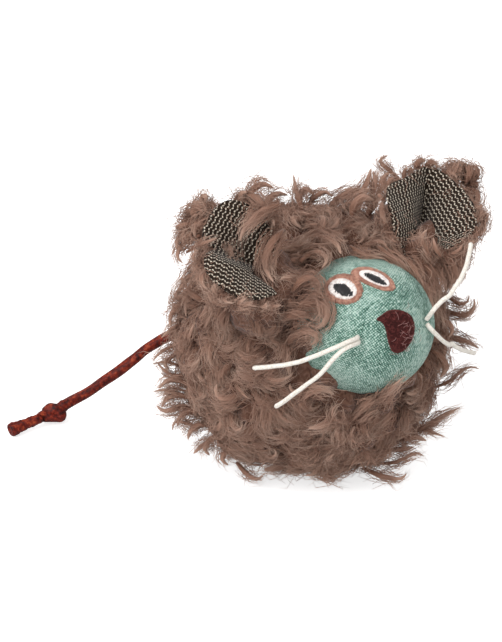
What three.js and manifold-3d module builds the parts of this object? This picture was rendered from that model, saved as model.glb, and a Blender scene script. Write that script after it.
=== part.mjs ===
import * as THREE from 'three';
import { mergeVertices } from 'three/addons/utils/BufferGeometryUtils.js';
import Module from 'manifold-3d';

// Plush mouse toy for a cat, in millimetres: +Z up, nose toward -Y, the toy's own left side on +X.
// The origin is the centre of the flat face that it rests on.

const wasm = await Module();
wasm.setup();

// Fits
const seatGap = 0.3;
const cutOverrun = 2;
const weldTolerance = 1e-4;

// Body: one round ball of pile fabric, with a head swelling forward and a mound under each ear.
// Places are shares of the ball's radius from its centre: side, forward and rise
const ballRadius = 47;
const headRadius = 28.2;
const headPlaceShares = [0, 0.4468, 0.2979];
const moundRadius = 18;
const moundPlaceShares = [0.6064, 0.3085, 0.7234];
const pileDepth = 9;
const tuftSpacing = 13;
const tuftHollow = 3.8;
const looseTipDepth = 1.4;
const tuftHollowShares = [0.12, 0.56];
const tuftFadeShares = [-0.85, -0.5];
const bellyRadius = 300;
const bellyDrop = 44.5;
const settleDepth = 0.5;
const bellyPanelRadius = 29;
const swellShare = 16;
const settleShare = 24;

// Face: a linen dome sewn into the front of the head
const faceRadius = 21.5;
const facePlaceShares = [0, 0.7255, 0.4596];
const facePitchDeg = 24.3;
const faceClothThickness = 1.2;
const threadThickness = 0.7;
const patchEdgeShare = 0.3;
const patchUnderShares = [0.6, 0];
const patchTopShares = [0, 0.2, 0.6];
const ringTopShares = [0, 0.5, 1];
const feltThickness = 1.4;

// Eyes: places are distances over the dome from the nose axis, toward +X and upward
const eyeRingHalfTall = 7.3;
const eyeRingHalfWide = 5;
const eyeWhiteHalfTall = 5.8;
const eyeWhiteHalfWide = 3.8;
const eyePupilHalfTall = 4.1;
const eyePupilHalfWide = 2.3;
const eyePupilDrop = 0.7;
const eyes = {
  right: { across: -14.7, over: 20.1, leanDeg: 10 },
  left: { across: -1.5, over: 19.6, leanDeg: 23 },
};

// Nose: a felt teardrop with its tip turned to the toy's right
const noseWidth = 12.6;
const noseHeight = 14.6;
const noseAcross = -0.9;
const noseOver = -0.7;
const noseOutlineShares = [
  [-0.56, 0.34], [-0.36, 0.44], [-0.12, 0.5], [0.12, 0.47], [0.34, 0.36], [0.47, 0.18],
  [0.49, -0.02], [0.34, -0.2], [0.17, -0.38], [-0.03, -0.52], [-0.2, -0.55], [-0.34, -0.44],
  [-0.42, -0.26], [-0.41, -0.04], [-0.42, 0.14], [-0.48, 0.27],
];

// Ears: a folded leaf, tweed inside and pile fabric behind, hinged on the seam at its base
const earLength = 22.5;
const earHalfWidth = 18.5;
const earWidestAt = 11;
const earLobeLength = 7;
const earCreaseRadius = 2;
const earDroop = 3.5;
const earFoldAtBaseDeg = 52;
const earFoldAtTipDeg = 16;
const earClothThickness = 1;
const earPileThickness = 4.8;
const earLayerGap = 0.55;
const earPileOverhang = 1.6;
const earTuftHalfWide = 9;
const earTuftHalfLong = 7.5;
const earTuftHalfThick = 4.6;
const earTuftPlaceShares = [0.46, 1.06];
const earSeamDepth = 2.5;
const earSeamPlaceShares = [0.6788, 0.3894, 0.8851];
const earSideShare = 0.64;
const earBackShare = 0.515;
const earRiseShare = 0.575;
const earFacingShares = [-0.262, -0.555, 0.79];
const earSideReachShare = 0.985;
const earRimShare = 0.35;
const earRimPower = 6;
const earDroopPower = 4;
const earRaiseDeg = 31;
const earLowerDeg = 5;
const earSweepStepDeg = 12;
const earSweepGap = 0.5;
const earPoses = {
  left: { liftDeg: 0, rollDeg: 0, swingDeg: 0, rise: 0 },
  right: { liftDeg: 0, rollDeg: -12, swingDeg: 4, rise: 2.4 },
};

// Whiskers: waxed cotton, two from one hole in each cheek
const whiskerDiameter = 1.5;
const whiskerHoleGap = 0.35;
const whiskerKnotRadius = 2.2;
const whiskerRoutes = {
  right_upper: [
    [-14.08, -48.9, 72.77], [-15.3, -50.2, 73.4], [-18.9, -51.1, 73.8], [-21.5, -50.8, 73],
    [-23.7, -49.7, 71.8], [-25.8, -48.3, 70.5], [-27.7, -46.8, 69.2], [-29.5, -45.2, 67.9],
    [-31.4, -43.6, 66.6], [-33.2, -41.8, 65.5], [-35.1, -40, 64.6], [-36.9, -38.1, 63.8],
    [-38.7, -36.1, 63], [-40.5, -34.1, 62.3], [-42.3, -32.1, 61.6],
  ],
  right_lower: [
    [-14.08, -49.66, 71.07], [-15.3, -51, 71.6], [-18.8, -51.8, 71.9], [-21.3, -51.3, 71],
    [-23.1, -50.5, 69.2], [-24.6, -49.7, 67.1], [-26.1, -49.1, 65], [-27.7, -48.4, 62.9],
    [-29.4, -47.4, 61.1], [-31, -46.2, 59.3], [-32.7, -45.1, 57.5], [-34.3, -43.9, 55.7],
    [-35.9, -42.8, 53.9], [-37.5, -41.6, 52.1], [-39.2, -40.3, 50.4],
  ],
  left_upper: [
    [10.76, -51.45, 72.79], [11.7, -53, 73.5], [12.3, -53.8, 76], [13.6, -54.1, 77.8],
    [15.5, -54.1, 79.1], [17.4, -53.8, 80.3], [19.2, -53.3, 81.6], [21.1, -52.7, 82.8],
    [22.9, -52, 83.9], [24.6, -51.1, 85.1], [26.3, -50, 86.2], [27.8, -48.8, 87.4],
    [29.2, -47.5, 88.6], [30.6, -46.2, 89.9], [31.9, -44.8, 91.1],
  ],
  left_lower: [
    [10.74, -52.15, 70.99], [11.7, -53.7, 71.4], [12.8, -54.4, 70.5], [14.2, -54.2, 68.8],
    [15.7, -53.6, 66.6], [17.4, -52.9, 64.5], [19.2, -52.1, 62.4], [21.1, -51.2, 60.3],
    [23.1, -50.2, 58.3], [25.2, -49.1, 56.4], [27.4, -48, 54.5], [29.7, -46.7, 52.8],
    [32, -45.5, 51.1], [34.4, -44.2, 49.4], [36.8, -42.8, 47.7],
  ],
};

// Tail: a rolled leather cord with an overhand knot near its end, sewn in at the back
const tailDiameter = 3.3;
const tailBallRadius = 2.2;
const tailRootLength = 9.5;
const tailSwingFarDeg = 121;
const tailSwingNearDeg = 6;
const tailSweepStepDeg = 12.7;
const tailSweepGap = 0.8;
const tailSocketGap = 0.35;
const tailRoomPoints = 6;
const tailRoute = [
  [0, 43.5, 31.5], [-2.6, 45, 31.1], [-5.5, 46.5, 30.5], [-8.8, 48, 29.8], [-12.4, 49.4, 28.9],
  [-16.2, 50.8, 27.8], [-20.2, 52.1, 26.4], [-24.2, 53.3, 24.9], [-28, 54.3, 23.3],
  [-31.8, 55.3, 21], [-35.6, 56.4, 18.1], [-39.3, 57.4, 15.3], [-44.6, 58.6, 12.3],
  [-50.1, 59.5, 9.3], [-55.6, 60.1, 7.3], [-61, 60.2, 6],
];
const knotHalfLength = 4.6;
const knotLobeRadius = 2.9;
const knotLobeShift = 1.9;
const knotLobeLift = 0.4;
const tailEndLength = 11.5;
const tailEndFlare = 0.5;
const tailEndBoreRadius = 1.1;
const tailEndBoreDepth = 3.5;
const tailEndGap = 0.75;

// Facets
const pileColumns = 62;
const pileRows = 33;
const ballColumns = 30;
const ballRows = 18;
const domeColumns = 30;
const domeRows = 18;
const roundSides = 14;
const cordSides = 8;
const whiskerSteps = 12;
const tailSteps = 14;
const earColumns = 14;
const earRows = 6;
const outlineSteps = 20;

const deg = Math.PI / 180;
const vec = (x, y, z) => new THREE.Vector3(x, y, z);

// Solids: three.js geometry in, joined and cut, three.js geometry out
function solidOf(geometry, matrix) {
  const bare = geometry.clone();
  bare.deleteAttribute('normal');
  bare.deleteAttribute('uv');
  if (matrix) bare.applyMatrix4(matrix);
  const merged = mergeVertices(bare, weldTolerance);
  const vertProperties = new Float32Array(merged.attributes.position.array);
  const triVerts = new Uint32Array(merged.index.array);
  return new wasm.Manifold(new wasm.Mesh({ numProp: 3, vertProperties, triVerts }));
}

function geometryOf(solid) {
  const mesh = solid.getMesh();
  const geometry = new THREE.BufferGeometry();
  geometry.setAttribute('position', new THREE.BufferAttribute(new Float32Array(mesh.vertProperties), 3));
  geometry.setIndex(new THREE.BufferAttribute(new Uint32Array(mesh.triVerts), 1));
  geometry.computeVertexNormals();
  return geometry;
}

// A closed surface from corner points and triangles, turned to face outward
function closedSurface(points, triangles) {
  let volume = 0;
  for (const [a, b, c] of triangles) {
    volume += points[a].dot(points[b].clone().cross(points[c]));
  }
  const faces = volume > 0 ? triangles : triangles.map(([a, b, c]) => [a, c, b]);
  const geometry = new THREE.BufferGeometry();
  geometry.setAttribute('position', new THREE.Float32BufferAttribute(points.flatMap((p) => p.toArray()), 3));
  geometry.setIndex(faces.flat());
  return geometry;
}

// A place on the body from its shares of the ball's radius: side is 1 on the toy's left and -1 on its right
function bodyPlace([across, forward, rise], side) {
  return vec(side * across, -forward, rise).multiplyScalar(ballRadius);
}

// Body swellings, each a sphere placed from the body's centre: the filling has no mounds under the ears
const filledLumps = [
  { centre: vec(0, 0, 0), radius: ballRadius },
  { centre: bodyPlace(headPlaceShares, 1), radius: headRadius },
];
const allLumps = [
  ...filledLumps,
  { centre: bodyPlace(moundPlaceShares, 1), radius: moundRadius },
  { centre: bodyPlace(moundPlaceShares, -1), radius: moundRadius },
];

// How far a ray from the body's centre runs before it leaves a sphere, or zero where it misses
function exitDistance(direction, centre, radius) {
  const along = direction.dot(centre);
  const inside = along * along - centre.lengthSq() + radius * radius;
  return inside > 0 ? Math.max(along + Math.sqrt(inside), 0) : 0;
}

// Distance from the body's centre to the skin, in one direction, at a depth under the pile's surface
function skinDistance(direction, depth, lumps) {
  let swell = 0;
  for (const { centre, radius } of lumps) {
    const distance = exitDistance(direction, centre, radius - depth);
    swell += (distance / ballRadius) ** swellShare;
  }
  const round = ballRadius * swell ** (1 / swellShare);
  const belly = exitDistance(direction, vec(0, 0, bellyRadius - bellyDrop), bellyRadius - depth);
  const both = (round / ballRadius) ** -settleShare + (belly / ballRadius) ** -settleShare;
  return ballRadius * both ** (-1 / settleShare);
}

const bodyHeight = skinDistance(vec(0, 0, -1), 0, allLumps) - settleDepth;
const bodyCentre = vec(0, 0, bodyHeight);

// The pile stands in tufts, spread over the ball by the golden angle, with hollows between them
const tuftCount = Math.round(Math.PI * (2 * ballRadius / tuftSpacing) ** 2);
const tuftWays = Array.from({ length: tuftCount }, (_, i) => {
  const height = 1 - (2 * i + 1) / tuftCount;
  const around = i * Math.PI * (3 - Math.sqrt(5));
  const reach = Math.sqrt(1 - height * height);
  return vec(reach * Math.cos(around), reach * Math.sin(around), height);
});

// Depth that the tufts' loose tips take up, and of the hollow beside the nearest tuft. Both fade out on the
// underside that the toy rests on
function hollowDepth(direction) {
  let nearest = Infinity;
  for (const way of tuftWays) nearest = Math.min(nearest, direction.distanceTo(way));
  const hollow = THREE.MathUtils.smoothstep(nearest * ballRadius / tuftSpacing, ...tuftHollowShares);
  return (looseTipDepth + tuftHollow * hollow) * THREE.MathUtils.smoothstep(direction.z, ...tuftFadeShares);
}

function skinGeometry(distanceAt, columns, rows) {
  const geometry = new THREE.SphereGeometry(1, columns, rows);
  geometry.rotateX(Math.PI / 2);
  const position = geometry.attributes.position;
  const direction = vec(0, 0, 0);
  for (let i = 0; i < position.count; i += 1) {
    direction.fromBufferAttribute(position, i).normalize();
    direction.multiplyScalar(distanceAt(direction)).add(bodyCentre);
    position.setXYZ(i, direction.x, direction.y, direction.z);
  }
  return geometry;
}

function boxSolid(low, high) {
  const size = high.clone().sub(low);
  const middle = high.clone().add(low).multiplyScalar(0.5);
  return solidOf(new THREE.BoxGeometry(size.x, size.y, size.z).translate(middle.x, middle.y, middle.z));
}

const farOut = (ballRadius + cutOverrun) * 2;
const aboveFloor = boxSolid(vec(-farOut, -farOut, 0), vec(farOut, farOut, farOut * 2));
const tuftedSkin = skinGeometry((d) => skinDistance(d, 0, allLumps) - hollowDepth(d), pileColumns, pileRows);
const outerSkin = solidOf(tuftedSkin).intersect(aboveFloor);
const backedSkin = skinGeometry((d) => skinDistance(d, pileDepth, filledLumps), ballColumns, ballRows);
const innerSkin = solidOf(backedSkin);

// Face dome and its frame: the nose axis, a level axis and an axis up over the face
const faceMiddle = bodyPlace(facePlaceShares, 1).add(bodyCentre);
const noseAxis = vec(0, -Math.cos(facePitchDeg * deg), Math.sin(facePitchDeg * deg));
const faceLevel = vec(1, 0, 0);
const faceUp = noseAxis.clone().cross(faceLevel);

function domeSolid(radius) {
  const geometry = new THREE.SphereGeometry(radius, domeColumns, domeRows);
  geometry.rotateX(facePitchDeg * deg);
  return solidOf(geometry.translate(faceMiddle.x, faceMiddle.y, faceMiddle.z));
}

// A direction on the dome from two distances over it, measured from an axis along a level and an up axis
function overDome(axis, level, up, across, over) {
  const reach = Math.hypot(across, over);
  if (reach === 0) return axis.clone();
  const side = level.clone().multiplyScalar(across / reach).addScaledVector(up, over / reach);
  const turn = reach / faceRadius;
  return axis.clone().multiplyScalar(Math.cos(turn)).addScaledVector(side, Math.sin(turn));
}

function domeFrame(across, over) {
  const axis = overDome(noseAxis, faceLevel, faceUp, across, over);
  const level = vec(1, 0, 0).addScaledVector(axis, -axis.x).normalize();
  return { axis, level, up: axis.clone().cross(level) };
}

// A patch lying on the dome: rings of outline points from its underside round the edge to its top,
// joined into a loop where the patch is itself a ring and closed by two middle points where it isn't
function domePatch(frame, outer, inner, thickness) {
  const lift = faceRadius + seatGap;
  const edge = thickness * patchEdgeShare;
  const points = [];
  const place = (across, over, height) => {
    const direction = overDome(frame.axis, frame.level, frame.up, across, over);
    points.push(direction.multiplyScalar(lift + height).add(faceMiddle));
  };
  const addRing = (share, height) => outer.forEach(([x, y], i) => {
    const [innerX, innerY] = inner ? inner[i] : [0, 0];
    place(x + (innerX - x) * share, y + (innerY - y) * share, height);
  });
  const underShares = inner ? [1, 0] : patchUnderShares;
  const topShares = inner ? ringTopShares : patchTopShares;
  for (const share of underShares) addRing(share, 0);
  topShares.forEach((share, i) => addRing(share, i === 0 || share === 1 ? edge : thickness));
  const count = outer.length;
  const rings = underShares.length + topShares.length;
  const triangles = [];
  for (let r = 0; r < (inner ? rings : rings - 1); r += 1) {
    const from = r * count;
    const to = ((r + 1) % rings) * count;
    for (let i = 0; i < count; i += 1) {
      const next = (i + 1) % count;
      triangles.push([from + i, from + next, to + next], [from + i, to + next, to + i]);
    }
  }
  if (!inner) {
    place(0, 0, 0);
    place(0, 0, thickness);
    const last = (rings - 1) * count;
    for (let i = 0; i < count; i += 1) {
      const next = (i + 1) % count;
      triangles.push([rings * count, next, i], [rings * count + 1, last + i, last + next]);
    }
  }
  return closedSurface(points, triangles);
}

function ellipse(halfWide, halfTall, leanDeg, drop) {
  return Array.from({ length: outlineSteps }, (_, i) => {
    const turn = (i / outlineSteps) * Math.PI * 2;
    const x = Math.cos(turn) * halfWide;
    const y = Math.sin(turn) * halfTall - drop;
    const lean = leanDeg * deg;
    return [x * Math.cos(lean) - y * Math.sin(lean), x * Math.sin(lean) + y * Math.cos(lean)];
  });
}

// Ear leaf in its own frame: x across, y from the seam to the tip, z out of the lining, folded at x = 0
function earPoint(acrossShare, alongShare, grow, depth) {
  const halfWidth = earHalfWidth + grow;
  const round = Math.sqrt(1 - acrossShare * acrossShare);
  const lobe = (earLobeLength + grow) * Math.sin(Math.PI * Math.abs(acrossShare)) ** 2;
  const base = earWidestAt * (1 - round) - lobe - grow * (1 - Math.abs(acrossShare));
  const tip = earWidestAt + (earLength + grow - earWidestAt) * round;
  const x = halfWidth * acrossShare;
  const y = base + (tip - base) * alongShare;
  const fold = THREE.MathUtils.lerp(
    earFoldAtBaseDeg,
    earFoldAtTipDeg,
    THREE.MathUtils.clamp(y / earLength, 0, 1),
  ) * deg;
  const rise = Math.hypot(x * Math.sin(fold), earCreaseRadius) - earCreaseRadius;
  const droop = earDroop * Math.abs(x / earHalfWidth) ** earDroopPower;
  return vec(x * Math.cos(fold), y, rise - droop - depth);
}

// The leaf's slab between two depths under the lining's face, thinner toward its rim by a share
function earGeometry(top, bottom, grow, rimShare) {
  const acrossAt = (i) => Math.sin((i / earColumns - 0.5) * Math.PI) * earSideReachShare;
  const points = [];
  for (const face of [0, 1]) {
    for (let j = 0; j <= earRows; j += 1) {
      for (let i = 0; i <= earColumns; i += 1) {
        const s = acrossAt(i);
        const q = j / earRows;
        const rim = Math.max(Math.abs(s), Math.abs(q * 2 - 1)) ** earRimPower;
        const thin = 1 - (1 - rimShare) * rim;
        const depth = face === 0 ? top : top + (bottom - top) * thin;
        points.push(earPoint(s, q, grow, depth));
      }
    }
  }
  const across = earColumns + 1;
  const index = (face, i, j) => face * across * (earRows + 1) + j * across + i;
  const triangles = [];
  const quad = (a, b, c, d) => triangles.push([a, b, c], [a, c, d]);
  for (let j = 0; j < earRows; j += 1) {
    for (let i = 0; i < earColumns; i += 1) {
      quad(index(0, i, j), index(0, i + 1, j), index(0, i + 1, j + 1), index(0, i, j + 1));
      quad(index(1, i, j), index(1, i, j + 1), index(1, i + 1, j + 1), index(1, i + 1, j));
    }
    for (const [i, flip] of [[0, false], [earColumns, true]]) {
      const side = [index(0, i, j), index(0, i, j + 1), index(1, i, j + 1), index(1, i, j)];
      quad(...(flip ? side.reverse() : side));
    }
  }
  for (let i = 0; i < earColumns; i += 1) {
    for (const [j, flip] of [[0, true], [earRows, false]]) {
      const side = [index(0, i, j), index(0, i + 1, j), index(1, i + 1, j), index(1, i, j)];
      quad(...(flip ? side.reverse() : side));
    }
  }
  return closedSurface(points, triangles);
}

// The seam frame of one ear: side is 1 on the toy's left and -1 on its right. Each ear lies its own way
function earPlace(side, { liftDeg, rollDeg, swingDeg, rise }) {
  const along = vec(side * earSideShare, earBackShare, earRiseShare).normalize();
  const facing = vec(side * earFacingShares[0], earFacingShares[1], earFacingShares[2]);
  facing.addScaledVector(along, -facing.dot(along)).normalize();
  const across = along.clone().cross(facing);
  const seam = bodyPlace(earSeamPlaceShares, side).add(bodyCentre).add(vec(0, 0, rise));
  seam.addScaledVector(along, -earSeamDepth);
  const place = new THREE.Matrix4().makeBasis(across, along, facing).setPosition(seam);
  place.multiply(new THREE.Matrix4().makeRotationZ(swingDeg * deg));
  place.multiply(new THREE.Matrix4().makeRotationY(rollDeg * deg));
  return place.multiply(new THREE.Matrix4().makeRotationX(liftDeg * deg));
}

// The tuft of pile that stands out behind the leaf's tip, grown by a gap where it is only room
function earTuftGeometry(grow) {
  const [acrossShare, alongShare] = earTuftPlaceShares;
  const depth = earClothThickness + earLayerGap + earTuftHalfThick;
  const tuft = new THREE.SphereGeometry(1, roundSides, roundSides / 2);
  tuft.scale(earTuftHalfWide + grow, earTuftHalfLong + grow, earTuftHalfThick + grow);
  return tuft.translate(earHalfWidth * acrossShare, earLength * alongShare, -depth);
}

// Leather and cotton cords: a round section drawn along a smooth route
function cordGeometry(route, diameter, sides, steps) {
  const curve = new THREE.CatmullRomCurve3(route.map((p) => vec(...p)), false, 'centripetal');
  const section = new THREE.Shape();
  section.absarc(0, 0, diameter / 2, 0, Math.PI * 2, false);
  const settings = { steps, extrudePath: curve, curveSegments: sides / 2, bevelEnabled: false };
  return new THREE.ExtrudeGeometry(section, settings);
}

// A cylinder from one point along a direction
function rodGeometry(from, direction, length, radius) {
  const rod = new THREE.CylinderGeometry(radius, radius, length, roundSides);
  rod.translate(0, length / 2, 0);
  const turn = new THREE.Quaternion().setFromUnitVectors(vec(0, 1, 0), direction.clone().normalize());
  return rod.applyMatrix4(new THREE.Matrix4().compose(from, turn, vec(1, 1, 1)));
}

function ballGeometry(centre, radius) {
  return new THREE.SphereGeometry(radius, roundSides, roundSides / 2).translate(centre.x, centre.y, centre.z);
}

const toy = new THREE.Group();

function add(name, geometry, color, roughness, matrix) {
  const material = new THREE.MeshStandardMaterial({ color, roughness, metalness: 0 });
  const mesh = new THREE.Mesh(geometry, material);
  mesh.name = name;
  if (matrix) mesh.applyMatrix4(matrix);
  toy.add(mesh);
  return mesh;
}

const pileColor = 0x8b6f66;
const linenColor = 0x8fbfae;
const copperColor = 0xb5714f;
const whiteThreadColor = 0xf2eeea;
const blackThreadColor = 0x1c1a1c;
const feltColor = 0x5a1f22;
const tweedColor = 0x6b5d52;
const cottonColor = 0xece6da;
const leatherColor = 0x7a2e1c;
const fillingColor = 0xf0ece4;

// Ears and the room that each needs in the pile as it swings
const earSweeps = [];
for (const [side, hand] of [[1, 'left'], [-1, 'right']]) {
  const place = earPlace(side, earPoses[hand]);
  const pileTop = earClothThickness + earLayerGap;
  const pileBottom = pileTop + earPileThickness;
  const back = earGeometry(pileTop, pileBottom, earPileOverhang, earRimShare);
  add(`ear_lining_${hand}`, earGeometry(0, earClothThickness, 0, 1), tweedColor, 0.9, place);
  const tuftedBack = solidOf(back).add(solidOf(earTuftGeometry(0)));
  add(`ear_back_${hand}`, geometryOf(tuftedBack), pileColor, 0.95, place);
  const roomDepth = pileBottom + earSweepGap * 2;
  const roomRim = (pileTop + earPileThickness * earRimShare + earSweepGap * 2) / roomDepth;
  const room = earGeometry(-earSweepGap, roomDepth - earSweepGap, earPileOverhang + earSweepGap, roomRim);
  for (let turn = -earLowerDeg; turn <= earRaiseDeg; turn += earSweepStepDeg) {
    const swing = new THREE.Matrix4().makeRotationX(turn * deg);
    const swung = place.clone().multiply(swing);
    earSweeps.push(solidOf(room, swung), solidOf(earTuftGeometry(earSweepGap), swung));
  }
}

// Tail root, ball and the room that the cord needs in the pile as it swings
const tailPivot = vec(...tailRoute[0]);
const tailBack = vec(0, 1, 0);
const tailRootStart = tailPivot.clone().addScaledVector(tailBack, -tailRootLength);
const tailSocket = solidOf(ballGeometry(tailPivot, tailBallRadius + tailSocketGap));
const tailRoot = solidOf(rodGeometry(tailRootStart, tailBack, tailRootLength, tailDiameter / 2));
const tailRootRoom = solidOf(rodGeometry(
  tailRootStart.clone().addScaledVector(tailBack, -cutOverrun),
  tailBack,
  tailRootLength + cutOverrun,
  tailDiameter / 2 + seatGap,
));
const tailRoom = cordGeometry(
  tailRoute.slice(0, tailRoomPoints),
  tailDiameter + tailSweepGap * 2,
  cordSides,
  tailRoomPoints,
);
const tailSweeps = [];
for (let turn = -tailSwingFarDeg; turn <= tailSwingNearDeg; turn += tailSweepStepDeg) {
  const swing = new THREE.Matrix4().makeTranslation(tailPivot);
  swing.multiply(new THREE.Matrix4().makeRotationZ(turn * deg));
  swing.multiply(new THREE.Matrix4().makeTranslation(tailPivot.clone().negate()));
  tailSweeps.push(solidOf(tailRoom, swing));
}

// Whisker holes through the face, and the knots that stop the cords inside it
const holeWays = [];
for (const [name, route] of Object.entries(whiskerRoutes)) {
  const start = vec(...route[0]);
  const inward = faceMiddle.clone().sub(start).normalize();
  const from = start.clone().addScaledVector(inward, -cutOverrun);
  const length = faceClothThickness + seatGap + cutOverrun * 2;
  holeWays.push(solidOf(rodGeometry(from, inward, length, whiskerDiameter / 2 + whiskerHoleGap)));
  const whisker = cordGeometry(route, whiskerDiameter, cordSides, whiskerSteps);
  add(`whisker_${name}`, whisker, cottonColor, 0.7);
}

// Fur panels
let shell = outerSkin.subtract(innerSkin).subtract(domeSolid(faceRadius + seatGap));
for (const sweep of earSweeps) shell = shell.subtract(sweep);
for (const { across, over, leanDeg } of Object.values(eyes)) {
  const room = ellipse(eyeRingHalfWide + seatGap, eyeRingHalfTall + seatGap, leanDeg, 0);
  shell = shell.subtract(solidOf(domePatch(domeFrame(across, over), room, null, pileDepth)));
}
shell = shell.subtract(tailSocket).subtract(tailRootRoom);
for (const sweep of tailSweeps) shell = shell.subtract(sweep);

function bellyCutter(radius) {
  const height = bodyHeight + cutOverrun;
  const cutter = new THREE.CylinderGeometry(radius, radius, height, ballColumns);
  cutter.rotateX(Math.PI / 2).translate(0, 0, height / 2 - cutOverrun);
  return solidOf(cutter);
}

const upperShell = shell.subtract(bellyCutter(bellyPanelRadius + seatGap));
const leftHalf = boxSolid(vec(seatGap / 2, -farOut, -farOut), vec(farOut, farOut, farOut * 2));
const rightHalf = boxSolid(vec(-farOut, -farOut, -farOut), vec(-seatGap / 2, farOut, farOut * 2));
add('fur_panel_left', geometryOf(upperShell.intersect(leftHalf)), pileColor, 0.95);
add('fur_panel_right', geometryOf(upperShell.intersect(rightHalf)), pileColor, 0.95);
add('fur_panel_belly', geometryOf(shell.intersect(bellyCutter(bellyPanelRadius))), pileColor, 0.95);

// Face panel, cut back where it is sewn to the fur's backing
let facePanel = domeSolid(faceRadius).subtract(domeSolid(faceRadius - faceClothThickness)).subtract(innerSkin);
for (const way of holeWays) facePanel = facePanel.subtract(way);
add('face_panel', geometryOf(facePanel), linenColor, 0.85);

const nose = noseOutlineShares.map(([x, y]) => [x * noseWidth, y * noseHeight]);
add('nose_felt', domePatch(domeFrame(noseAcross, noseOver), nose, null, feltThickness), feltColor, 0.95);

for (const [hand, { across, over, leanDeg }] of Object.entries(eyes)) {
  const frame = domeFrame(across, over);
  const pupil = ellipse(eyePupilHalfWide, eyePupilHalfTall, leanDeg, eyePupilDrop);
  const whiteInner = ellipse(eyePupilHalfWide + seatGap, eyePupilHalfTall + seatGap, leanDeg, eyePupilDrop);
  const white = ellipse(eyeWhiteHalfWide, eyeWhiteHalfTall, leanDeg, 0);
  const ringInner = ellipse(eyeWhiteHalfWide + seatGap, eyeWhiteHalfTall + seatGap, leanDeg, 0);
  const ring = ellipse(eyeRingHalfWide, eyeRingHalfTall, leanDeg, 0);
  add(`eye_ring_${hand}`, domePatch(frame, ring, ringInner, threadThickness), copperColor, 0.6);
  add(`eye_white_${hand}`, domePatch(frame, white, whiteInner, threadThickness), whiteThreadColor, 0.6);
  add(`eye_pupil_${hand}`, domePatch(frame, pupil, null, threadThickness), blackThreadColor, 0.5);
}

// Filling, with a bulge behind the face and room for the cord ends that come through
const bulgeRadius = faceRadius - faceClothThickness - seatGap;
const fillingDepth = pileDepth + seatGap;
const fillingSkin = skinGeometry((d) => skinDistance(d, fillingDepth, filledLumps), ballColumns, ballRows);
let filling = solidOf(fillingSkin).add(domeSolid(bulgeRadius));
filling = filling.subtract(solidOf(rodGeometry(
  tailRootStart.clone().addScaledVector(tailBack, -cutOverrun),
  tailBack,
  tailRootLength,
  tailDiameter / 2 + seatGap,
)));

for (const hand of ['left', 'right']) {
  const upper = vec(...whiskerRoutes[`${hand}_upper`][0]);
  const lower = vec(...whiskerRoutes[`${hand}_lower`][0]);
  const outward = upper.clone().add(lower).multiplyScalar(0.5).sub(faceMiddle);
  const depth = bulgeRadius - whiskerKnotRadius;
  const middle = outward.clone().normalize().multiplyScalar(depth).add(faceMiddle);
  add(`whisker_knot_${hand}`, ballGeometry(middle, whiskerKnotRadius - seatGap), cottonColor, 0.7);
  filling = filling.subtract(solidOf(ballGeometry(middle, whiskerKnotRadius)));
}
add('stuffing', geometryOf(filling), fillingColor, 0.95);

// Tail: root sewn in, swinging cord, knot and rolled end
add('tail_root', geometryOf(tailRoot.subtract(tailSocket)), leatherColor, 0.5);
const tailBall = solidOf(ballGeometry(tailPivot, tailBallRadius));
const tailTube = solidOf(cordGeometry(tailRoute, tailDiameter, cordSides, tailSteps));
add('tail_cord', geometryOf(tailTube.add(tailBall)), leatherColor, 0.5);

const tailStop = vec(...tailRoute[tailRoute.length - 1]);
const beforeStop = vec(...tailRoute[tailRoute.length - 2]);
const tailAim = tailStop.clone().sub(beforeStop).normalize();
const knotMiddle = tailStop.clone().addScaledVector(tailAim, knotHalfLength + seatGap);
const knotTurn = new THREE.Quaternion().setFromUnitVectors(vec(0, 0, 1), tailAim);
const knotPlace = new THREE.Matrix4().compose(knotMiddle, knotTurn, vec(1, 1, 1));
const knotBand = boxSolid(
  vec(-knotLobeRadius * 2, -knotLobeRadius * 2, -knotHalfLength),
  vec(knotLobeRadius * 2, knotLobeRadius * 2, knotHalfLength),
);
const lobe = (shift, lift) => solidOf(ballGeometry(vec(lift, 0, shift), knotLobeRadius));
const knot = lobe(-knotLobeShift, knotLobeLift).add(lobe(knotLobeShift, -knotLobeLift)).intersect(knotBand);
add('tail_knot', geometryOf(knot), leatherColor, 0.5, knotPlace);

const endProfile = [
  [0, 0],
  [tailDiameter / 2, 0],
  [tailDiameter / 2, tailEndLength / 2],
  [tailDiameter / 2 + tailEndFlare, tailEndLength],
  [tailEndBoreRadius, tailEndLength],
  [tailEndBoreRadius, tailEndLength - tailEndBoreDepth],
  [0, tailEndLength - tailEndBoreDepth],
];
const endTube = new THREE.LatheGeometry(endProfile.map(([x, y]) => new THREE.Vector2(x, y)), roundSides);
endTube.rotateX(Math.PI / 2);
const endStart = knotMiddle.clone().addScaledVector(tailAim, knotHalfLength + tailEndGap);
const endAim = vec(tailAim.x, tailAim.y, 0).normalize();
endAim.z = (tailDiameter / 2 + tailEndFlare + seatGap - endStart.z) / tailEndLength;
const endTurn = new THREE.Quaternion().setFromUnitVectors(vec(0, 0, 1), endAim.normalize());
const endSolid = solidOf(endTube, new THREE.Matrix4().compose(endStart, endTurn, vec(1, 1, 1)));
add('tail_end', geometryOf(endSolid), leatherColor, 0.5);

export default toy;
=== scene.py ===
import math

import bmesh
import bpy
import numpy as np
from mathutils import Matrix, Vector, noise
from mathutils.kdtree import KDTree


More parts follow.
